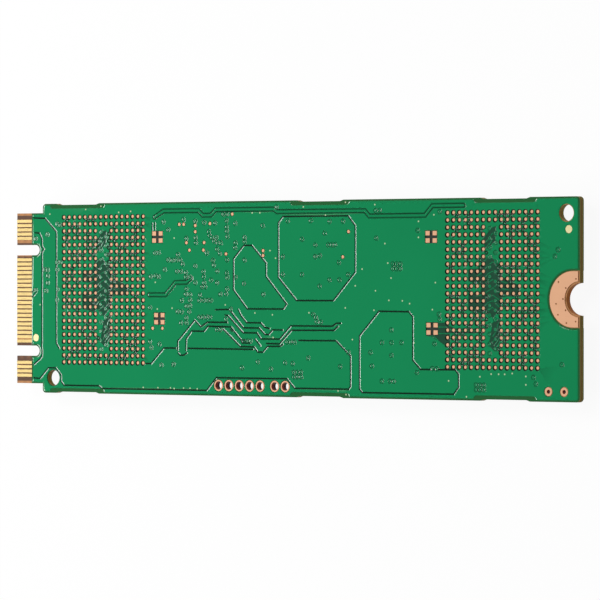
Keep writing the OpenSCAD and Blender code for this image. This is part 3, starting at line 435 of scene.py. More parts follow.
# Flat geometry in millimetres.
def circle(x, y, radius, count):
    """Corner points of a regular polygon."""
    return [
        (x + radius * math.cos(2 * math.pi * k / count), y + radius * math.sin(2 * math.pi * k / count))
        for k in range(count)
    ]


def side_line(points, distance, closed=False):
    """Points of a polyline set off sideways, with mitred corners."""
    line = np.array(points, float)
    count = len(line)
    out = []
    for k in range(count):
        before = line[k] - line[k - 1] if closed or k > 0 else line[1] - line[0]
        after = line[(k + 1) % count] - line[k] if closed or k < count - 1 else line[-1] - line[-2]
        a = np.array([-before[1], before[0]]) / np.linalg.norm(before)
        b = np.array([-after[1], after[0]]) / np.linalg.norm(after)
        out.append(tuple(line[k] + (a + b) * distance / max(1 + a @ b, 0.4)))
    return out


def segments(lines, closed=False):
    """All straight pieces of several polylines, as an array of start and end points."""
    pairs = []
    for line in lines:
        pairs += [(*line[k], *line[k + 1]) for k in range(len(line) - 1)]
        if closed:
            pairs.append((*line[-1], *line[0]))
    return np.array(pairs, float).reshape(-1, 4)


def distance_to_points(places, centres, reach):
    """Distance from each place to the nearest centre, or reach where none is nearer."""
    best = np.full(len(places), float(reach))
    centres = np.array(centres, float).reshape(-1, 2)
    for start in range(0, len(places), 4000):
        part = places[start:start + 4000]
        gap = np.hypot(part[:, None, 0] - centres[None, :, 0], part[:, None, 1] - centres[None, :, 1])
        best[start:start + 4000] = np.minimum(best[start:start + 4000], gap.min(1))
    return best


def distance_to_segments(places, pieces, reach):
    """Distance from each place to the nearest straight piece, or reach where none is nearer."""
    best = np.full(len(places), float(reach))
    for x0, y0, x1, y1 in pieces:
        near = np.flatnonzero(
            (places[:, 0] > min(x0, x1) - reach) & (places[:, 0] < max(x0, x1) + reach)
            & (places[:, 1] > min(y0, y1) - reach) & (places[:, 1] < max(y0, y1) + reach)
        )
        if not len(near):
            continue
        run = np.array([x1 - x0, y1 - y0])
        start = places[near] - (x0, y0)
        share = np.clip(start @ run / (run @ run), 0, 1)
        gap = np.linalg.norm(start - share[:, None] * run, axis=1)
        best[near] = np.minimum(best[near], gap)
    return best


def inside_polygon(places, corners):
    """Which places lie inside a polygon."""
    found = np.zeros(len(places), bool)
    x, y = places[:, 0], places[:, 1]
    for k in range(len(corners)):
        (x0, y0), (x1, y1) = corners[k - 1], corners[k]
        crosses = (y0 > y) != (y1 > y)
        with np.errstate(divide="ignore", invalid="ignore"):
            found ^= crosses & (x < (x1 - x0) * (y - y0) / (y1 - y0) + x0)
    return found


def moved(points, centre):
    """Points carried from a grid's own middle to its place on the board."""
    return [(x + centre[0], y + centre[1]) for x, y in points]


def grid_lands():
    """Middles of all lands of both memory grids."""
    places = []
    for centre in (GRID_A, GRID_B):
        for i in range(GRID_COLUMNS):
            for j in range(GRID_ROWS):
                middle = abs(i - (GRID_COLUMNS - 1) / 2) < 1
                inner = GRID_FULL_ROWS <= j < GRID_ROWS - GRID_FULL_ROWS
                if not (middle and inner):
                    places.append((
                        centre[0] + (i - (GRID_COLUMNS - 1) / 2) * GRID_PITCH,
                        centre[1] + (j - (GRID_ROWS - 1) / 2) * GRID_PITCH,
                    ))
    return places


def grid_vias():
    """Covered vias between the lands of the memory grids, and short traces from them, by a fixed rule."""
    places, spine, links = [], [], []
    for which, centre in enumerate((GRID_A, GRID_B)):
        for i in range(GRID_COLUMNS - 1):
            for j in range(GRID_ROWS - 1):
                x = (i - (GRID_COLUMNS - 2) / 2) * GRID_PITCH
                y = (j - (GRID_ROWS - 2) / 2) * GRID_PITCH
                turn = int(1e4 * abs(math.sin(12.9 * i + 78.2 * j + 37.7 * which))) % 12
                if turn > 3 or abs(x) < 0.5:
                    continue
                x, y = centre[0] + x, centre[1] + y
                places.append((x, y))
                side = (1, -1, -1, 1)[turn]
                rise = (1, 1, -1, 1)[turn]
                links.append([(x, y), (x + side * GRID_PITCH / 2, y + rise * GRID_PITCH / 2)])
        for k in range(SPINE_COUNT):
            x, y = centre[0] + (-0.35, 0.4)[k % 2], centre[1] - 6.9 + 0.52 * k
            spine.append((x, y))
    return places, spine, links


class Relief:
    """The back mask's surface: lines to cut it along, and the cover of copper under it at any place."""

    def __init__(self, mask, outlines):
        self.mask = mask
        self.lands = grid_lands()
        self.ring_middles = moved(self.lands, RING_SHIFT)
        self.grid_vias, spine, links = grid_vias()
        self.vias = VIAS + SCREW_LAND_VIAS + spine
        for left, top, columns, rows in VIA_CLUSTERS:
            self.vias += [
                (left + VIA_CLUSTER_PITCH * i, top - VIA_CLUSTER_PITCH * j)
                for i in range(columns) for j in range(rows)
            ]
        self.clearings = [moved(area, c) for area in GRID_CLEARINGS for c in (GRID_A, GRID_B)]
        self.clearings += [PAIR_CLEARING] + CLEARED_SPOTS
        rings = [
            loop for loop in outlines
            if distance_to_points(np.array(loop[:1]), self.lands, 1)[0] > LAND_OPENING_REACH
        ]
        self.outline = max(rings, key=len_round)
        self.openings = [loop for loop in rings if loop is not self.outline]
        edge = min(x for x, _ in self.outline)
        pieces = segments([self.outline], True)
        on_edge = (pieces[:, 0] < edge + 0.01) & (pieces[:, 2] < edge + 0.01)
        self.finger_edge, self.rim = pieces[on_edge], pieces[~on_edge]
        inside = (abs(self.rim[:, 1]) < BOARD_HIGH.y / MM - 0.05) & (abs(self.rim[:, 1]) > 10.5)
        long = self.rim[inside & (abs(self.rim[:, 0] - self.rim[:, 2]) > 3)]
        reach = RECESS_REACH * np.sign(long[:, 2] - long[:, 0])
        self.recesses = long + np.stack([-reach, 0 * reach, reach, 0 * reach], 1)
        self.thin = [moved(line, c) for line in GRID_TRACES for c in (GRID_A, GRID_B)] + PAIR_TRACES + links

    def cut_lines(self):
        """Closed loops and open lines along both edges of every slope."""
        m = self.mask
        half = m.slope / 2
        loops, lines = [], []
        loops += [inset(self.outline, d) for d in (m.pull_back - half, m.pull_back + half)]
        for line in self.recesses:
            ends = [(line[0], line[1]), (line[2], line[3])]
            for d in (m.recess_pull_back - half, m.recess_pull_back + half):
                lines.append([(x, y - math.copysign(d, y)) for x, y in ends])
                loops += [circle(x, y, d, 16) for x, y in ends]
        loops += [inset(loop, -m.slope) for loop in self.openings]
        for line in CLOSED_GAPS:
            loops += [side_line(line, d, True) for d in self.gap_offsets(m.gap / 2)]
        for line in OPEN_GAPS:
            lines += [side_line(line, d) for d in self.gap_offsets(m.gap / 2)]
            loops += [circle(x, y, m.gap / 2 + d, 10) for x, y in (line[0], line[-1]) for d in (-half, half)]
        for line in TRACES:
            reach = m.run / 2 + m.gap
            for edge in (m.run / 2, reach):
                lines += [side_line(line, d) for d in (-edge - half, -edge + half, edge - half, edge + half)]
                loops += [circle(x, y, edge + d, 12) for x, y in (line[0], line[-1]) for d in (-half, half)]
        for line in self.thin:
            lines += [side_line(line, d) for d in self.gap_offsets(m.trace / 2)]
        for area in self.clearings:
            loops += [side_line(area, d, True) for d in (-half, half)]
        for x, y in self.ring_middles:
            loops += [circle(x, y, m.clearance + d, 9) for d in (0, RING_SLOPE)]
        for x, y in self.vias:
            ring = m.via + half
            loops += [circle(x, y, DIMPLE_FLOOR, 5), circle(x, y, DIMPLE_RADIUS, 8)]
            loops += [circle(x, y, r, 9) for r in (m.via - half, ring, ring + half * 0.4, ring + m.slope)]
        for x, y in self.grid_vias:
            outer = m.grid_via + m.grid_ring
            loops.append(circle(x, y, DIMPLE_FLOOR, 5))
            for r in (m.grid_via - RING_SLOPE, m.grid_via, outer, outer + RING_SLOPE):
                loops.append(circle(x, y, r, 8))
        for x, y in PINHOLES:
            loops += [circle(x, y, r, 8) for r in PINHOLE_RINGS]
        return loops, lines

    def via_cover(self, places, high):
        """Cover with a pad and a cleared ring at each via, and a dimple in the pad's middle."""
        m = self.mask
        far = distance_to_points(places, self.grid_vias, FAR)
        high = np.minimum(high, self.steep(far - m.grid_via - m.grid_ring))
        high = np.maximum(high, self.steep(m.grid_via - far))
        wide = distance_to_points(places, self.vias, FAR)
        high = np.minimum(high, CLEARED_COVER + self.rise(wide - m.via - m.slope))
        high = np.maximum(high, self.rise(m.via - wide))
        dimple = (DIMPLE_RADIUS - np.minimum(far, wide)) / DIMPLE_SLOPE
        return high - DIMPLE_DEPTH * np.clip(dimple, 0, 1)

    def gap_offsets(self, half_width):
        """Where a band's two slopes begin and end, across its line."""
        half = self.mask.slope / 2
        return (-half_width - half, -half_width + half, half_width - half, half_width + half)

    def rise(self, signed):
        """Cover from 0 to 1 across a slope, from a distance that is positive on the copper's side."""
        return np.clip(0.5 + signed / self.mask.slope, 0, 1)

    def steep(self, signed):
        """Cover across the steeper slopes round lands and vias of the grids."""
        return np.clip(signed / RING_SLOPE, 0, 1)

    def cover(self, places):
        """Share of copper height under the mask at each place."""
        m = self.mask
        high = np.ones(len(places))
        for area in self.clearings:
            edge = distance_to_segments(places, segments([area], True), FAR)
            signed = np.where(inside_polygon(places, area), -edge, edge)
            high = np.minimum(high, CLEARED_COVER + self.rise(signed))
        gaps = np.minimum(
            distance_to_segments(places, segments(OPEN_GAPS), FAR),
            distance_to_segments(places, segments(CLOSED_GAPS, True), FAR),
        )
        high = np.minimum(high, self.rise(gaps - m.gap / 2))
        runs = distance_to_segments(places, segments(TRACES), FAR)
        high = np.minimum(high, RUN_GAP_COVER + self.rise(runs - m.run / 2 - m.gap))
        high = np.maximum(high, self.rise(m.run / 2 - runs))
        rings = distance_to_points(places, self.ring_middles, FAR)
        high = np.minimum(high, self.steep(rings - m.clearance))
        thin = distance_to_segments(places, segments(self.thin), FAR)
        high = np.maximum(high, self.rise(m.trace / 2 - thin))
        return self.via_cover(places, high)

    def cleared(self, places, cover):
        """Share of a place on the lightly covered laminate inside the clearings."""
        inside = np.zeros(len(places), bool)
        for area in self.clearings:
            inside |= inside_polygon(places, area)
        below, above = (1 - cover) / (1 - CLEARED_COVER), cover / CLEARED_COVER
        return inside * np.clip(below, 0, 1) * np.clip(above, 0, 1)

    def inland(self, places):
        """Share of a place beyond the strips without copper along the board's edges and recesses."""
        m = self.mask
        left = self.rise(distance_to_segments(places, self.rim, FAR) - m.pull_back)
        beside = distance_to_segments(places, self.recesses, FAR) - m.recess_pull_back
        return np.minimum(left, self.rise(beside))

    def edges(self, places):
        """Share of the coating's height that is left by the board's edges and by its openings."""
        left = self.inland(places)
        for line in [segments([loop], True) for loop in self.openings]:
            left = np.minimum(left, 0.6 + distance_to_segments(places, line, FAR) / self.mask.slope)
        beside = distance_to_segments(places, self.finger_edge, FAR)
        return np.minimum(left, beside / (self.mask.pull_back - 0.06))


def len_round(loop):
    """Length round a closed loop."""
    return sum(math.dist(loop[k - 1], loop[k]) for k in range(len(loop)))


def turning(loop):
    """Signed area of a closed loop, positive where it runs anticlockwise."""
    return sum(a[0] * b[1] - b[0] * a[1] for a, b in zip(loop[-1:] + loop[:-1], loop)) / 2


def inset(loop, distance):
    """A closed loop drawn inwards by a distance, or outwards where it is negative."""
    return side_line(loop, distance if turning(loop) > 0 else -distance, True)


def chained(points, edges):
    """Closed loops of points from loose edges."""
    beside = {}
    for a, b in edges:
        beside.setdefault(a, []).append(b)
        beside.setdefault(b, []).append(a)
    left = set(beside)
    loops = []
    while left:
        start = here = min(left)
        before, loop = None, []
        while True:
            loop.append(points[here])
            left.discard(here)
            onward = [n for n in beside[here] if n != before]
            before, here = here, onward[0]
            if here == start:
                break
        loops.append(loop)
    return loops


def mask_edges(mesh, level):
    """Boundary loops of the solid mask's underside, as flat points and edges in millimetres."""
    bm = bmesh.new()
    bm.from_mesh(mesh)
    bmesh.ops.remove_doubles(bm, verts=bm.verts, dist=1e-7)
    under = {f for f in bm.faces if f.normal.z < -0.9 and abs(f.calc_center_median().z - level) < 1e-6}
    index, points, edges = {}, [], []
    for edge in bm.edges:
        if sum(f in under for f in edge.link_faces) != 1:
            continue
        for v in edge.verts:
            if v.index not in index:
                index[v.index] = len(points)
                points.append((v.co.x / MM, v.co.y / MM))
        edges.append(tuple(index[v.index] for v in edge.verts))
    bm.free()
    return points, edges


def build_relief(mask):
    """The back mask as a surface with its copper relief, standing on the laminate."""
    solid = nodes["solder_mask_back"].data
    points, edges = mask_edges(solid, CORE_TOP)
    relief = Relief(mask, chained(points, edges))
    loops, lines = relief.cut_lines()
    for path, closed in [(p, True) for p in loops] + [(p, False) for p in lines]:
        start = len(points)
        points += path
        edges += [(start + k, start + k + 1) for k in range(len(path) - 1)]
        if closed:
            edges.append((len(points) - 1, start))
    flat, _, faces, _, _, _ = delaunay_2d_cdt([Vector(p) for p in points], edges, [], 0, 1e-4)
    flat = np.array([(v.x, v.y) for v in flat])
    faces = np.array([f for f in faces if len(f) == 3])
    tree = BVHTree.FromPolygons([v.co for v in solid.vertices], [p.vertices for p in solid.polygons])
    middles = flat[faces].mean(1) * MM
    probe = CORE_TOP + 0.001 * MM
    held = [
        tree.ray_cast(Vector((x, y, probe)), Vector((0, 0, 1)))[0] is not None for x, y in middles
    ]
    faces = faces[np.array(held)]
    used = np.unique(faces)
    place = np.full(len(flat), -1)
    place[used] = np.arange(len(used))
    flat, faces = flat[used], place[faces]
    cover = relief.cover(flat)
    high = np.minimum(cover, relief.edges(flat))
    thin = np.clip(1.5 - distance_to_points(flat, PINHOLES, 1) / 0.08, 0, 1)
    top = BACK_TOP - mask.relief * MM * (1 - high)

    mesh = bpy.data.meshes.new("back_mask_relief")
    mesh.from_pydata([(x * MM, y * MM, z) for (x, y), z in zip(flat, top)], [], faces.tolist())
    bm = bmesh.new()
    bm.from_mesh(mesh)
    shares = {
        "bare": np.clip(1 - cover, 0, 1), "cleared": relief.cleared(flat, cover),
        "rim": 1 - relief.inland(flat), "thin_coat": thin,
    }
    for name in shares:
        bm.verts.layers.float.new(name)
    for name, values in shares.items():
        layer = bm.verts.layers.float[name]
        for vert, value in zip(bm.verts, values):
            vert[layer] = value
    bmesh.ops.recalc_face_normals(bm, faces=bm.faces)
    rim = [e for e in bm.edges if e.is_boundary]
    made = bmesh.ops.extrude_edge_only(bm, edges=rim)["geom"]
    for item in made:
        if isinstance(item, bmesh.types.BMVert):
            item.co.z = CORE_TOP
    if sum(f.normal.z for f in bm.faces) < 0:
        bmesh.ops.reverse_faces(bm, faces=bm.faces)
    bm.to_mesh(mesh)
    bm.free()
    piece = bpy.data.objects.new("back_mask_relief", mesh)
    bpy.context.scene.collection.objects.link(piece)
    return piece


# Shader helpers. Each material gets its nodes from here, with its own values.
class Shader:
    """A material under construction, with its Principled shader and object coordinates."""

    def __init__(self, name, **fixed):
        self.material = bpy.data.materials.new(name)
        self.material.use_nodes = True
        self.tree = self.material.node_tree
        self.tree.nodes.clear()
        self.body = self.add("ShaderNodeBsdfPrincipled")
        output = self.add("ShaderNodeOutputMaterial")
        self.link(self.body.outputs["BSDF"], output.inputs["Surface"])
        self.place = self.add("ShaderNodeTexCoord").outputs["Object"]
        for socket, value in fixed.items():
            self.body.inputs[socket.replace("_", " ")].default_value = value

    def add(self, kind, **settings):
        node = self.tree.nodes.new(kind)
        for key, value in settings.items():
            setattr(node, key, value)
        return node

    def link(self, start, end):
        self.tree.links.new(start, end)

    def group(self, effect, **values):
        """A shared effect, with this material's values on its inputs."""
        node = self.add("ShaderNodeGroup", node_tree=effect)
        for socket, value in values.items():
            node.inputs[socket.replace("_", " ")].default_value = value
        self.link(self.place, node.inputs["Place"])
        return node

    def bump(self, height, distance, strength=1.0):
        node = self.add("ShaderNodeBump")
        node.inputs["Strength"].default_value = strength
        node.inputs["Distance"].default_value = distance
        self.link(height, node.inputs["Height"])
        self.link(node.outputs["Normal"], self.body.inputs["Normal"])

    def blend(self, share, dark, light):
        """A colour between two, by a share that changes over the surface."""
        node = self.add("ShaderNodeMix", data_type="RGBA")
        self.link(share, node.inputs["Factor"])
        for socket, colour in (("A", dark), ("B", light)):
            slot = [s for s in node.inputs if s.name == socket and s.type == "RGBA"][0]
            if isinstance(colour, bpy.types.NodeSocket):
                self.link(colour, slot)
            else:
                slot.default_value = (*colour[:3], 1)
        return [s for s in node.outputs if s.type == "RGBA"][0]

    def band(self, value, low, high):
        """1 where a value lies between two limits, and 0 elsewhere."""
        middle = self.add("ShaderNodeMath", operation="COMPARE")
        self.link(value, middle.inputs[0])
        middle.inputs[1].default_value = (low + high) / 2
        middle.inputs[2].default_value = (high - low) / 2
        return middle.outputs["Value"]

    def facing_up(self):
        """1 on level faces and 0 on upright ones."""
        geometry = self.add("ShaderNodeNewGeometry")
        split = self.add("ShaderNodeSeparateXYZ")
        self.link(geometry.outputs["True Normal"], split.inputs[0])
        size = self.add("ShaderNodeMath", operation="ABSOLUTE")
        self.link(split.outputs["Z"], size.inputs[0])
        return size.outputs["Value"]

    def spread(self, value, low, high):
        """A value from 0 to 1 taken to a range."""
        node = self.add("ShaderNodeMapRange")
        node.inputs["To Min"].default_value = low
        node.inputs["To Max"].default_value = high
        self.link(value, node.inputs["Value"])
        return node.outputs["Result"]


def new_effect(name, inputs, outputs):
    """An empty shader node group with named sockets."""
    effect = bpy.data.node_groups.new(name, "ShaderNodeTree")
    effect.interface.new_socket("Place", in_out="INPUT", socket_type="NodeSocketVector")
    for label, value in inputs:
        socket = effect.interface.new_socket(label, in_out="INPUT", socket_type="NodeSocketFloat")
        socket.default_value = value
    for label in outputs:
        effect.interface.new_socket(label, in_out="OUTPUT", socket_type="NodeSocketFloat")
    start = effect.nodes.new("NodeGroupInput")
    end = effect.nodes.new("NodeGroupOutput")
    return effect, start, end


def grain_effect():
    """Fine grain and broad drift, both from 0 to 1."""
    inputs = [("Grain Scale", 4000.0), ("Drift Scale", 120.0)]
    effect, start, end = new_effect("Grain", inputs, ["Grain", "Drift"])
    for source, target, detail in (("Grain Scale", "Grain", 3.0), ("Drift Scale", "Drift", 2.0)):
        noise = effect.nodes.new("ShaderNodeTexNoise")
        noise.inputs["Detail"].default_value = detail
        effect.links.new(start.outputs["Place"], noise.inputs["Vector"])
        effect.links.new(start.outputs[source], noise.inputs["Scale"])
        effect.links.new(noise.outputs["Fac"], end.inputs[target])
    return effect


def weave_effect():
    """Glass cloth under resin: two crossed sets of yarns."""
    effect, start, end = new_effect("Glass Cloth", [("Yarn Scale", 320.0), ("Wander", 0.6)], ["Cloth"])
    waves = []
    for axis in ("X", "Y"):
        wave = effect.nodes.new("ShaderNodeTexWave")
        wave.bands_direction = axis
        wave.inputs["Detail"].default_value = 1.0
        wave.inputs["Detail Scale"].default_value = 2.0
        effect.links.new(start.outputs["Place"], wave.inputs["Vector"])
        effect.links.new(start.outputs["Yarn Scale"], wave.inputs["Scale"])
        effect.links.new(start.outputs["Wander"], wave.inputs["Distortion"])
        waves.append(wave.outputs["Fac"])
    both = effect.nodes.new("ShaderNodeMath")
    both.operation = "MULTIPLY"
    effect.links.new(waves[0], both.inputs[0])
    effect.links.new(waves[1], both.inputs[1])
    effect.links.new(both.outputs["Value"], end.inputs["Cloth"])
    return effect


def scuff_effect():
    """Fine parallel scuffs along X, from 0 to 1."""
    effect, start, end = new_effect("Scuffs", [("Scuff Scale", 2500.0), ("Stretch", 0.05)], ["Scuffs"])
    squeeze = effect.nodes.new("ShaderNodeCombineXYZ")
    effect.links.new(start.outputs["Stretch"], squeeze.inputs["X"])
    for axis in ("Y", "Z"):
        squeeze.inputs[axis].default_value = 1.0
    scaled = effect.nodes.new("ShaderNodeVectorMath")
    scaled.operation = "MULTIPLY"
    effect.links.new(start.outputs["Place"], scaled.inputs[0])
    effect.links.new(squeeze.outputs["Vector"], scaled.inputs[1])
    noise = effect.nodes.new("ShaderNodeTexNoise")
    noise.inputs["Detail"].default_value = 2.0
    effect.links.new(scaled.outputs["Vector"], noise.inputs["Vector"])
    effect.links.new(start.outputs["Scuff Scale"], noise.inputs["Scale"])
    effect.links.new(noise.outputs["Fac"], end.inputs["Scuffs"])
    return effect


# Materials, one for each finish in the record.
def mask_material(effects, mask, name, colour, relief=False):
    """Green coating: deep green over copper, near black-green over bare laminate, there partly painted shade
    of the grooves and rings.
    """
    shader = Shader(name, Specular_IOR_Level=0.3)
    grain = shader.group(effects["grain"], Grain_Scale=5200.0, Drift_Scale=90.0)
    cloth = shader.group(effects["weave"], Yarn_Scale=260.0)
    cover = shader.blend(grain.outputs["Drift"], colour, tuple(c * 1.12 for c in colour))
    if relief:
        for name, tone in (
            ("bare", mask.bare_and_shade_colour), ("cleared", mask.cleared_colour), ("rim", mask.rim_colour),
            ("thin_coat", mask.pinhole_colour),
        ):
            share = shader.add("ShaderNodeAttribute", attribute_name=name).outputs["Fac"]
            # The bare share is stretched, so the etched gaps and rings take the near black-green painted
            # shade at full strength sooner.
            if name == "bare":
                share = shader.spread(share, 0, 1.1)
            cover = shader.blend(share, cover, tone)
    shader.link(cover, shader.body.inputs["Base Color"])
    shader.link(shader.spread(grain.outputs["Grain"], 0.1, 0.15), shader.body.inputs["Roughness"])
    both = shader.add("ShaderNodeMath", operation="MULTIPLY_ADD")
    both.inputs[1].default_value = 0.35
    shader.link(cloth.outputs["Cloth"], both.inputs[0])
    shader.link(grain.outputs["Grain"], both.inputs[2])
    shader.bump(both.outputs["Value"], 0.000004, 0.06)
    return shader.material


def laminate_material(effects, body):
    """Brown glass-epoxy with cloth showing on its faces and thin plies on its cut edges; under the mask its
    top is near black-green painted shade.
    """
    shader = Shader("laminate", Roughness=0.55, Specular_IOR_Level=0.2)
    grain = shader.group(effects["grain"], Grain_Scale=3000.0, Drift_Scale=160.0)
    cloth = shader.group(effects["weave"], Yarn_Scale=300.0)
    dark = tuple(c * 0.55 for c in body.laminate)
    split = shader.add("ShaderNodeSeparateXYZ")
    shader.link(shader.place, split.inputs[0])
    rim = shader.blend(cloth.outputs["Cloth"], tuple(c * 0.8 for c in body.laminate_rim), body.laminate_rim)
    face = shader.blend(cloth.outputs["Cloth"], dark, body.laminate)
    for low, high in TONGUE_RIMS:
        face = shader.blend(shader.band(split.outputs["Y"], low * MM, high * MM), face, rim)
    # Under the mask the laminate's top is near black-green, painted shade for the openings round the lands.
    under_mask = shader.band(split.outputs["X"], FINGER_END * MM, SCREW_LAND_LOW.x)
    face = shader.blend(under_mask, face, body.opening_shade)
    by_land = shader.band(split.outputs["X"], SCREW_LAND_LOW.x, BOARD_HIGH.x + MM)
    face = shader.blend(by_land, face, rim)
    plies = shader.add("ShaderNodeTexWave", bands_direction="Z")
    shader.link(shader.place, plies.inputs["Vector"])
    plies.inputs["Scale"].default_value = 900.0
    plies.inputs["Distortion"].default_value = 1.2
    plies.inputs["Detail"].default_value = 2.0
    edge = shader.blend(plies.outputs["Fac"], tuple(c * 0.55 for c in body.laminate_edge), body.laminate_edge)
    core = shader.add("ShaderNodeMapRange", interpolation_type="SMOOTHSTEP")
    middle = (BOARD_LOW.z + BOARD_HIGH.z) / 2
    away = shader.add("ShaderNodeMath", operation="SUBTRACT")
    shader.link(split.outputs["Z"], away.inputs[0])
    away.inputs[1].default_value = middle + 0.05 * MM
    size = shader.add("ShaderNodeMath", operation="ABSOLUTE")
    shader.link(away.outputs["Value"], size.inputs[0])
    core.inputs["From Min"].default_value = 0.04 * MM
    core.inputs["From Max"].default_value = 0.1 * MM
    core.inputs["To Min"].default_value = 1.0
    core.inputs["To Max"].default_value = 0.0
    shader.link(size.outputs["Value"], core.inputs["Value"])
    stripe = shader.blend(core.outputs["Result"], edge, body.core_stripe)
    by_notch = shader.add("ShaderNodeMath", operation="MULTIPLY")
    before_end = shader.band(split.outputs["X"], SCREW_LAND_LOW.x, BOARD_HIGH.x - 0.01 * MM)
    shader.link(before_end, by_notch.inputs[0])
    shader.link(shader.band(split.outputs["Y"], -NOTCH_REACH * MM, NOTCH_REACH * MM), by_notch.inputs[1])
    stripe = shader.blend(by_notch.outputs["Value"], stripe, body.notch_wall)
    colour = shader.blend(shader.facing_up(), stripe, face)
    shader.link(colour, shader.body.inputs["Base Color"])
    shader.link(shader.spread(grain.outputs["Grain"], 0.45, 0.7), shader.body.inputs["Roughness"])
    shader.bump(cloth.outputs["Cloth"], 0.00001, 0.5)
    return shader.material


def metal_material(effects, name, colour, rough, metallic=0.5, drift=0.14, scuffs=0.3, wall=None):
    """Bare metal: its colour drifts a little, fine scuffs break up its shine, and bore walls darken with
    depth as painted shade.
    """
    shader = Shader(name, Metallic=metallic)
    grain = shader.group(effects["grain"], Grain_Scale=2600.0, Drift_Scale=420.0)
    scuff = shader.group(effects["scuffs"], Scuff_Scale=9000.0)
    dark = tuple(c * (1 - drift) for c in colour)
    tint = shader.blend(grain.outputs["Drift"], dark, colour)
    if wall:
        split = shader.add("ShaderNodeSeparateXYZ")
        shader.link(shader.place, split.inputs[0])
        # Painted shade: bore walls darken from their colour at the top to near black 0.45 mm down.
        depth = shader.add("ShaderNodeMapRange")
        depth.inputs["From Min"].default_value = CORE_TOP - 0.45 * MM
        depth.inputs["From Max"].default_value = CORE_TOP
        shader.link(split.outputs["Z"], depth.inputs["Value"])
        painted_bore_shade = shader.blend(depth.outputs["Result"], tuple(c * 0.06 for c in wall), wall)
        tint = shader.blend(shader.facing_up(), painted_bore_shade, tint)
        shader.body.inputs["Specular IOR Level"].default_value = 0.1
        shader.link(shader.spread(shader.facing_up(), 0.0, metallic), shader.body.inputs["Metallic"])
    shader.link(tint, shader.body.inputs["Base Color"])
    roughness = shader.spread(scuff.outputs["Scuffs"], rough - 0.08, rough + 0.1)
    shader.link(roughness, shader.body.inputs["Roughness"])
    mixed = shader.add("ShaderNodeMath", operation="MULTIPLY_ADD")
    mixed.inputs[1].default_value = scuffs
    shader.link(scuff.outputs["Scuffs"], mixed.inputs[0])
    shader.link(grain.outputs["Grain"], mixed.inputs[2])
    shader.bump(mixed.outputs["Value"], 0.000003, 0.5)
    return shader.material


def moulded_material(effects, name, colour, rough, grain_scale=2400.0, depth=0.000008):
    """Filled black moulding compound with a fine matt grain."""
    shader = Shader(name)
    grain = shader.group(effects["grain"], Grain_Scale=grain_scale, Drift_Scale=200.0)
    pale = tuple(c * 1.5 for c in colour)
    shader.link(shader.blend(grain.outputs["Drift"], colour, pale), shader.body.inputs["Base Color"])
    roughness = shader.spread(grain.outputs["Grain"], rough - 0.08, rough + 0.1)
    shader.link(roughness, shader.body.inputs["Roughness"])
    shader.bump(grain.outputs["Grain"], depth, 0.6)
    return shader.material


def ceramic_material(effects, name, colour, speckle):
    """Fired chip ceramic, speckled and slightly glazed."""
    shader = Shader(name, Coat_Weight=0.15)
    grain = shader.group(effects["grain"], Grain_Scale=7000.0, Drift_Scale=900.0)
    dark = tuple(c * (1 - speckle) for c in colour)
    body = shader.blend(grain.outputs["Grain"], dark, colour)
    shader.link(body, shader.body.inputs["Base Color"])
    shader.link(shader.spread(grain.outputs["Drift"], 0.35, 0.5), shader.body.inputs["Roughness"])
    shader.bump(grain.outputs["Grain"], 0.000004, 0.4)
    return shader.material


def floor_material(stage):
    """White floor that keeps a faint shadow, and lets the underside be seen from below."""
    material = bpy.data.materials.new("stage_floor")
    material.use_nodes = True
    tree = material.node_tree
    tree.nodes.clear()

    def add(kind, **settings):
        node = tree.nodes.new(kind)
        for key, value in settings.items():
            setattr(node, key, value)
        return node

    def either(*values):
        total = values[0]
        for value in values[1:]:
            node = add("ShaderNodeMath", operation="MAXIMUM")
            tree.links.new(total, node.inputs[0])
            tree.links.new(value, node.inputs[1])
            total = node.outputs["Value"]
        return total

    def mixed(share, first, second):
        node = add("ShaderNodeMixShader")
        if isinstance(share, float):
            node.inputs[0].default_value = share
        else:
            tree.links.new(share, node.inputs[0])
        tree.links.new(first, node.inputs[1])
        tree.links.new(second, node.inputs[2])
        return node.outputs["Shader"]

    matt = add("ShaderNodeBsdfDiffuse")
    matt.inputs["Color"].default_value = (*stage.floor_colour, 1)
    white = add("ShaderNodeEmission")
    clear = add("ShaderNodeBsdfTransparent").outputs["BSDF"]
    path = add("ShaderNodeLightPath").outputs
    seen = either(path["Is Camera Ray"], path["Is Glossy Ray"], path["Is Transmission Ray"])
    glow = add("ShaderNodeMath", operation="MULTIPLY")
    glow.inputs[1].default_value = stage.floor_glow
    tree.links.new(seen, glow.inputs[0])
    floor = mixed(glow.outputs["Value"], matt.outputs["BSDF"], white.outputs["Emission"])
    behind = add("ShaderNodeNewGeometry").outputs["Backfacing"]
    through = either(behind, path["Is Shadow Ray"], path["Is Diffuse Ray"])
    output = add("ShaderNodeOutputMaterial")
    tree.links.new(mixed(through, floor, clear), output.inputs["Surface"])
    return material


def shared_effects():
    """The three shared effects, built once."""
    found = bpy.data.node_groups
    return {
        "grain": found.get("Grain") or grain_effect(),
        "weave": found.get("Glass Cloth") or weave_effect(),
        "scuffs": found.get("Scuffs") or scuff_effect(),
    }


def dress(names, material, bevel=0.0, steps=1):
    """Gives solids their finish, and rounds their edges by a bevel modifier."""
    for name in names:
        piece = nodes[name]
        piece.data.materials.clear()
        piece.data.materials.append(material)
        if bevel:
            rounding = piece.modifiers.new("edge_rounding", "BEVEL")
            rounding.width = bevel
            rounding.segments = steps
            rounding.limit_method = "ANGLE"
            rounding.angle_limit = math.radians(50)
            rounding.harden_normals = False


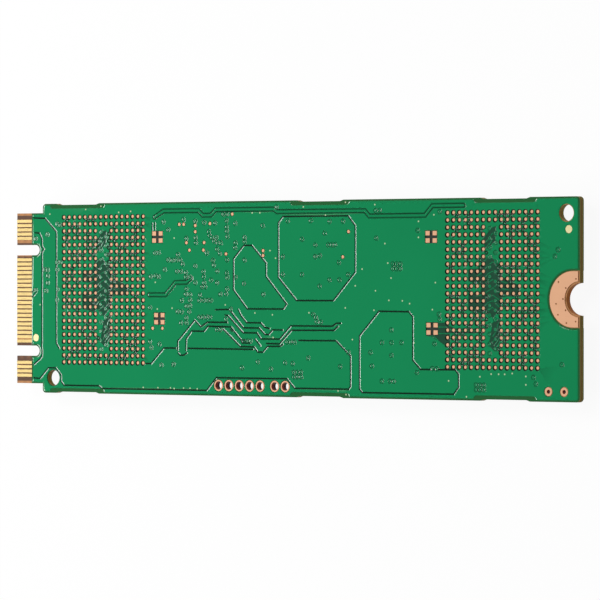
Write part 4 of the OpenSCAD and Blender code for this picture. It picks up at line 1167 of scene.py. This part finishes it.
# One operator for each piece or group of like pieces.
class DRIVE_OT_stage(bpy.types.Operator):
    """Floor, even sky, two soft lamps and the camera"""

    bl_idname = "drive.stage"
    bl_label = "Stage"

    def execute(self, context):
        stage = context.scene.drive_stage
        half = stage.floor_size / 2
        mesh = bpy.data.meshes.new("stage_floor")
        corners = [(-half, -half, 0), (half, -half, 0), (half, half, 0), (-half, half, 0)]
        mesh.from_pydata(corners, [], [(0, 1, 2, 3)])
        mesh.materials.append(floor_material(stage))
        floor = bpy.data.objects.new("stage_floor", mesh)
        context.scene.collection.objects.link(floor)

        world = bpy.data.worlds.new("even_sky")
        world.use_nodes = True
        world.node_tree.nodes["Background"].inputs["Color"].default_value = (1, 1, 1, 1)
        world.node_tree.nodes["Background"].inputs["Strength"].default_value = stage.sky_strength
        context.scene.world = world
        for name, place, width, height, power in (
            ("key_lamp", (-0.5, 0, 0.22), 0.7, 0.15, stage.key_power),
            ("fill_lamp", (-0.25, 0.45, 0.6), 0.3, 0.3, stage.fill_power),
        ):
            lamp = bpy.data.lights.new(name, "AREA")
            lamp.shape = "RECTANGLE"
            lamp.size = width
            lamp.size_y = height
            lamp.energy = power
            holder = bpy.data.objects.new(name, lamp)
            holder.location = place
            aim = Vector((0, 0, BACK_TOP)) - holder.location
            holder.rotation_euler = aim.to_track_quat("-Z", "Y").to_euler()
            context.scene.collection.objects.link(holder)

        lens = bpy.data.cameras.new("camera")
        lens.lens = stage.lens
        lens.sensor_width = 36
        lens.clip_start = 0.01
        camera = bpy.data.objects.new("camera", lens)
        turn = Matrix(((0.78683, -0.00177, 0.61717), (0.00044, 1.0, 0.00231), (-0.61717, -0.00155, 0.78683)))
        camera.matrix_world = Matrix.Translation(Vector(stage.eye) + Vector((0, 0, BACK_TOP))) @ turn.to_4x4()
        context.scene.collection.objects.link(camera)
        context.scene.camera = camera
        context.scene.view_settings.view_transform = "Standard"
        return {"FINISHED"}


class DRIVE_OT_back_mask(bpy.types.Operator):
    """The back's solder mask, with traces, covered vias and etched gaps in its surface"""

    bl_idname = "drive.back_mask"
    bl_label = "Back Mask Relief"

    def execute(self, context):
        mask = context.scene.drive_mask
        piece = build_relief(mask)
        coat = mask_material(shared_effects(), mask, "solder_mask_relief", mask.copper_colour, relief=True)
        piece.data.materials.append(coat)
        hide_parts("solder_mask_back")
        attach(piece, "root")
        return {"FINISHED"}


class DRIVE_OT_board(bpy.types.Operator):
    """Bare laminate and the mask of the component side"""

    bl_idname = "drive.board"
    bl_label = "Laminate and Front Mask"

    def execute(self, context):
        effects = shared_effects()
        mask = context.scene.drive_mask
        dress(["laminate"], laminate_material(effects, context.scene.drive_body))
        dress(["solder_mask_front"], mask_material(effects, mask, "solder_mask_flat", mask.copper_colour))
        return {"FINISHED"}


class DRIVE_OT_contacts(bpy.types.Operator):
    """Gold fingers of the card edge"""

    bl_idname = "drive.contacts"
    bl_label = "Contact Fingers"

    def execute(self, context):
        metal = context.scene.drive_metal
        gold = metal_material(shared_effects(), "contact_gold", metal.gold, 0.28, 0.4, 0.08)
        dress(["contact_fingers_back", "contact_fingers_front"], gold, 0.012 * MM, 2)
        return {"FINISHED"}


class DRIVE_OT_lands(bpy.types.Operator):
    """Copper lands, plated holes, screw lands and alignment marks"""

    bl_idname = "drive.lands"
    bl_label = "Lands and Plated Holes"

    def execute(self, context):
        effects = shared_effects()
        metal = context.scene.drive_metal
        copper = metal_material(effects, "land_copper", metal.copper, 0.3, 0.12, wall=metal.bore)
        dress(
            [
                "memory_lands_back_a", "memory_lands_back_b", "capacitor_lands_back", "test_lands_back",
                "screw_land_back", "screw_land_front", "header_eyelets", "corner_eyelets",
                "package_lands_front", "chip_lands_front",
            ],
            copper,
        )
        dress(["fiducials_back"], metal_material(effects, "fiducial_tin", metal.fiducial, 0.5, 0.4))
        return {"FINISHED"}


class DRIVE_OT_packages(bpy.types.Operator):
    """Ball grid packages, power manager, oscillator and load switch"""

    bl_idname = "drive.packages"
    bl_label = "Packages"

    def execute(self, context):
        effects = shared_effects()
        body = context.scene.drive_body
        tin = metal_material(effects, "package_solder", context.scene.drive_metal.solder, 0.3)
        mould = moulded_material(effects, "mould", body.mould, 0.55)
        substrate = mask_material(effects, context.scene.drive_mask, "package_substrate", body.substrate)
        packages = ("memory_{}_a", "memory_{}_b", "controller_{}", "cache_{}")
        dress([name.format("mould") for name in packages], mould, body.bevel * 2, 2)
        dress(["power_manager_mould", "load_switch_body"], mould, body.bevel, 2)
        dress([name.format("substrate") for name in packages], substrate)
        dress([name.format("balls") for name in packages], tin)
        dress(["power_manager_terminals", "load_switch_leads", "oscillator_terminals"], tin)
        dress(["oscillator_base"], ceramic_material(effects, "oscillator_ceramic", (0.62, 0.55, 0.42), 0.12))
        lid = metal_material(effects, "lid_metal", (0.72, 0.70, 0.66), 0.32)
        dress(["oscillator_lid"], lid, body.bevel, 2)
        return {"FINISHED"}


class DRIVE_OT_chips(bpy.types.Operator):
    """Chip capacitors, resistors and power inductors with their solder"""

    bl_idname = "drive.chips"
    bl_label = "Chip Parts"

    def execute(self, context):
        effects = shared_effects()
        body = context.scene.drive_body
        tin = metal_material(effects, "chip_solder", context.scene.drive_metal.solder, 0.36)
        tan = ceramic_material(effects, "ceramic_tan", (0.40, 0.24, 0.12), 0.2)
        dress(["capacitor_bodies"], tan, body.bevel)
        pale = ceramic_material(effects, "ceramic_pale", (0.5, 0.33, 0.2), 0.2)
        dress(["bulk_capacitor_bodies"], pale, body.bevel)
        resistor = moulded_material(effects, "resistor", (0.018, 0.018, 0.022), 0.4)
        dress(["resistor_bodies"], resistor, body.bevel)
        inductor = moulded_material(effects, "inductor", (0.075, 0.075, 0.08), 0.6)
        dress(["inductor_cores"], inductor, body.bevel * 2, 2)
        dress(["capacitor_terminals", "bulk_capacitor_terminals", "resistor_terminals"], tin, body.bevel)
        dress(["inductor_terminals", "solder_fillets"], tin)
        return {"FINISHED"}


class DRIVE_PT_finish(bpy.types.Panel):
    """The steps of the drive's finish, in order"""

    bl_idname = "DRIVE_PT_finish"
    bl_label = "Drive Finish"
    bl_space_type = "VIEW_3D"
    bl_region_type = "UI"
    bl_category = "Drive"

    def draw(self, context):
        for step in STEPS:
            self.layout.operator(step.bl_idname)
        for group in SETTINGS:
            box = self.layout.box()
            settings = getattr(context.scene, group)
            for name in settings.__annotations__:
                box.prop(settings, name)


STEPS = (
    DRIVE_OT_stage, DRIVE_OT_back_mask, DRIVE_OT_board, DRIVE_OT_contacts, DRIVE_OT_lands, DRIVE_OT_packages,
    DRIVE_OT_chips,
)
SETTINGS = {
    "drive_stage": DriveStageSettings, "drive_mask": DriveMaskSettings, "drive_metal": DriveMetalSettings,
    "drive_body": DriveBodySettings,
}
CLASSES = (*SETTINGS.values(), *STEPS, DRIVE_PT_finish)


def register():
    for item in CLASSES:
        bpy.utils.register_class(item)
    for name, group in SETTINGS.items():
        setattr(bpy.types.Scene, name, PointerProperty(type=group))


def unregister():
    for name in SETTINGS:
        delattr(bpy.types.Scene, name)
    for item in reversed(CLASSES):
        bpy.utils.unregister_class(item)


def main():
    register()
    for step in STEPS:
        prefix, name = step.bl_idname.split(".")
        getattr(getattr(bpy.ops, prefix), name)()


if __name__ == "__main__":
    main()
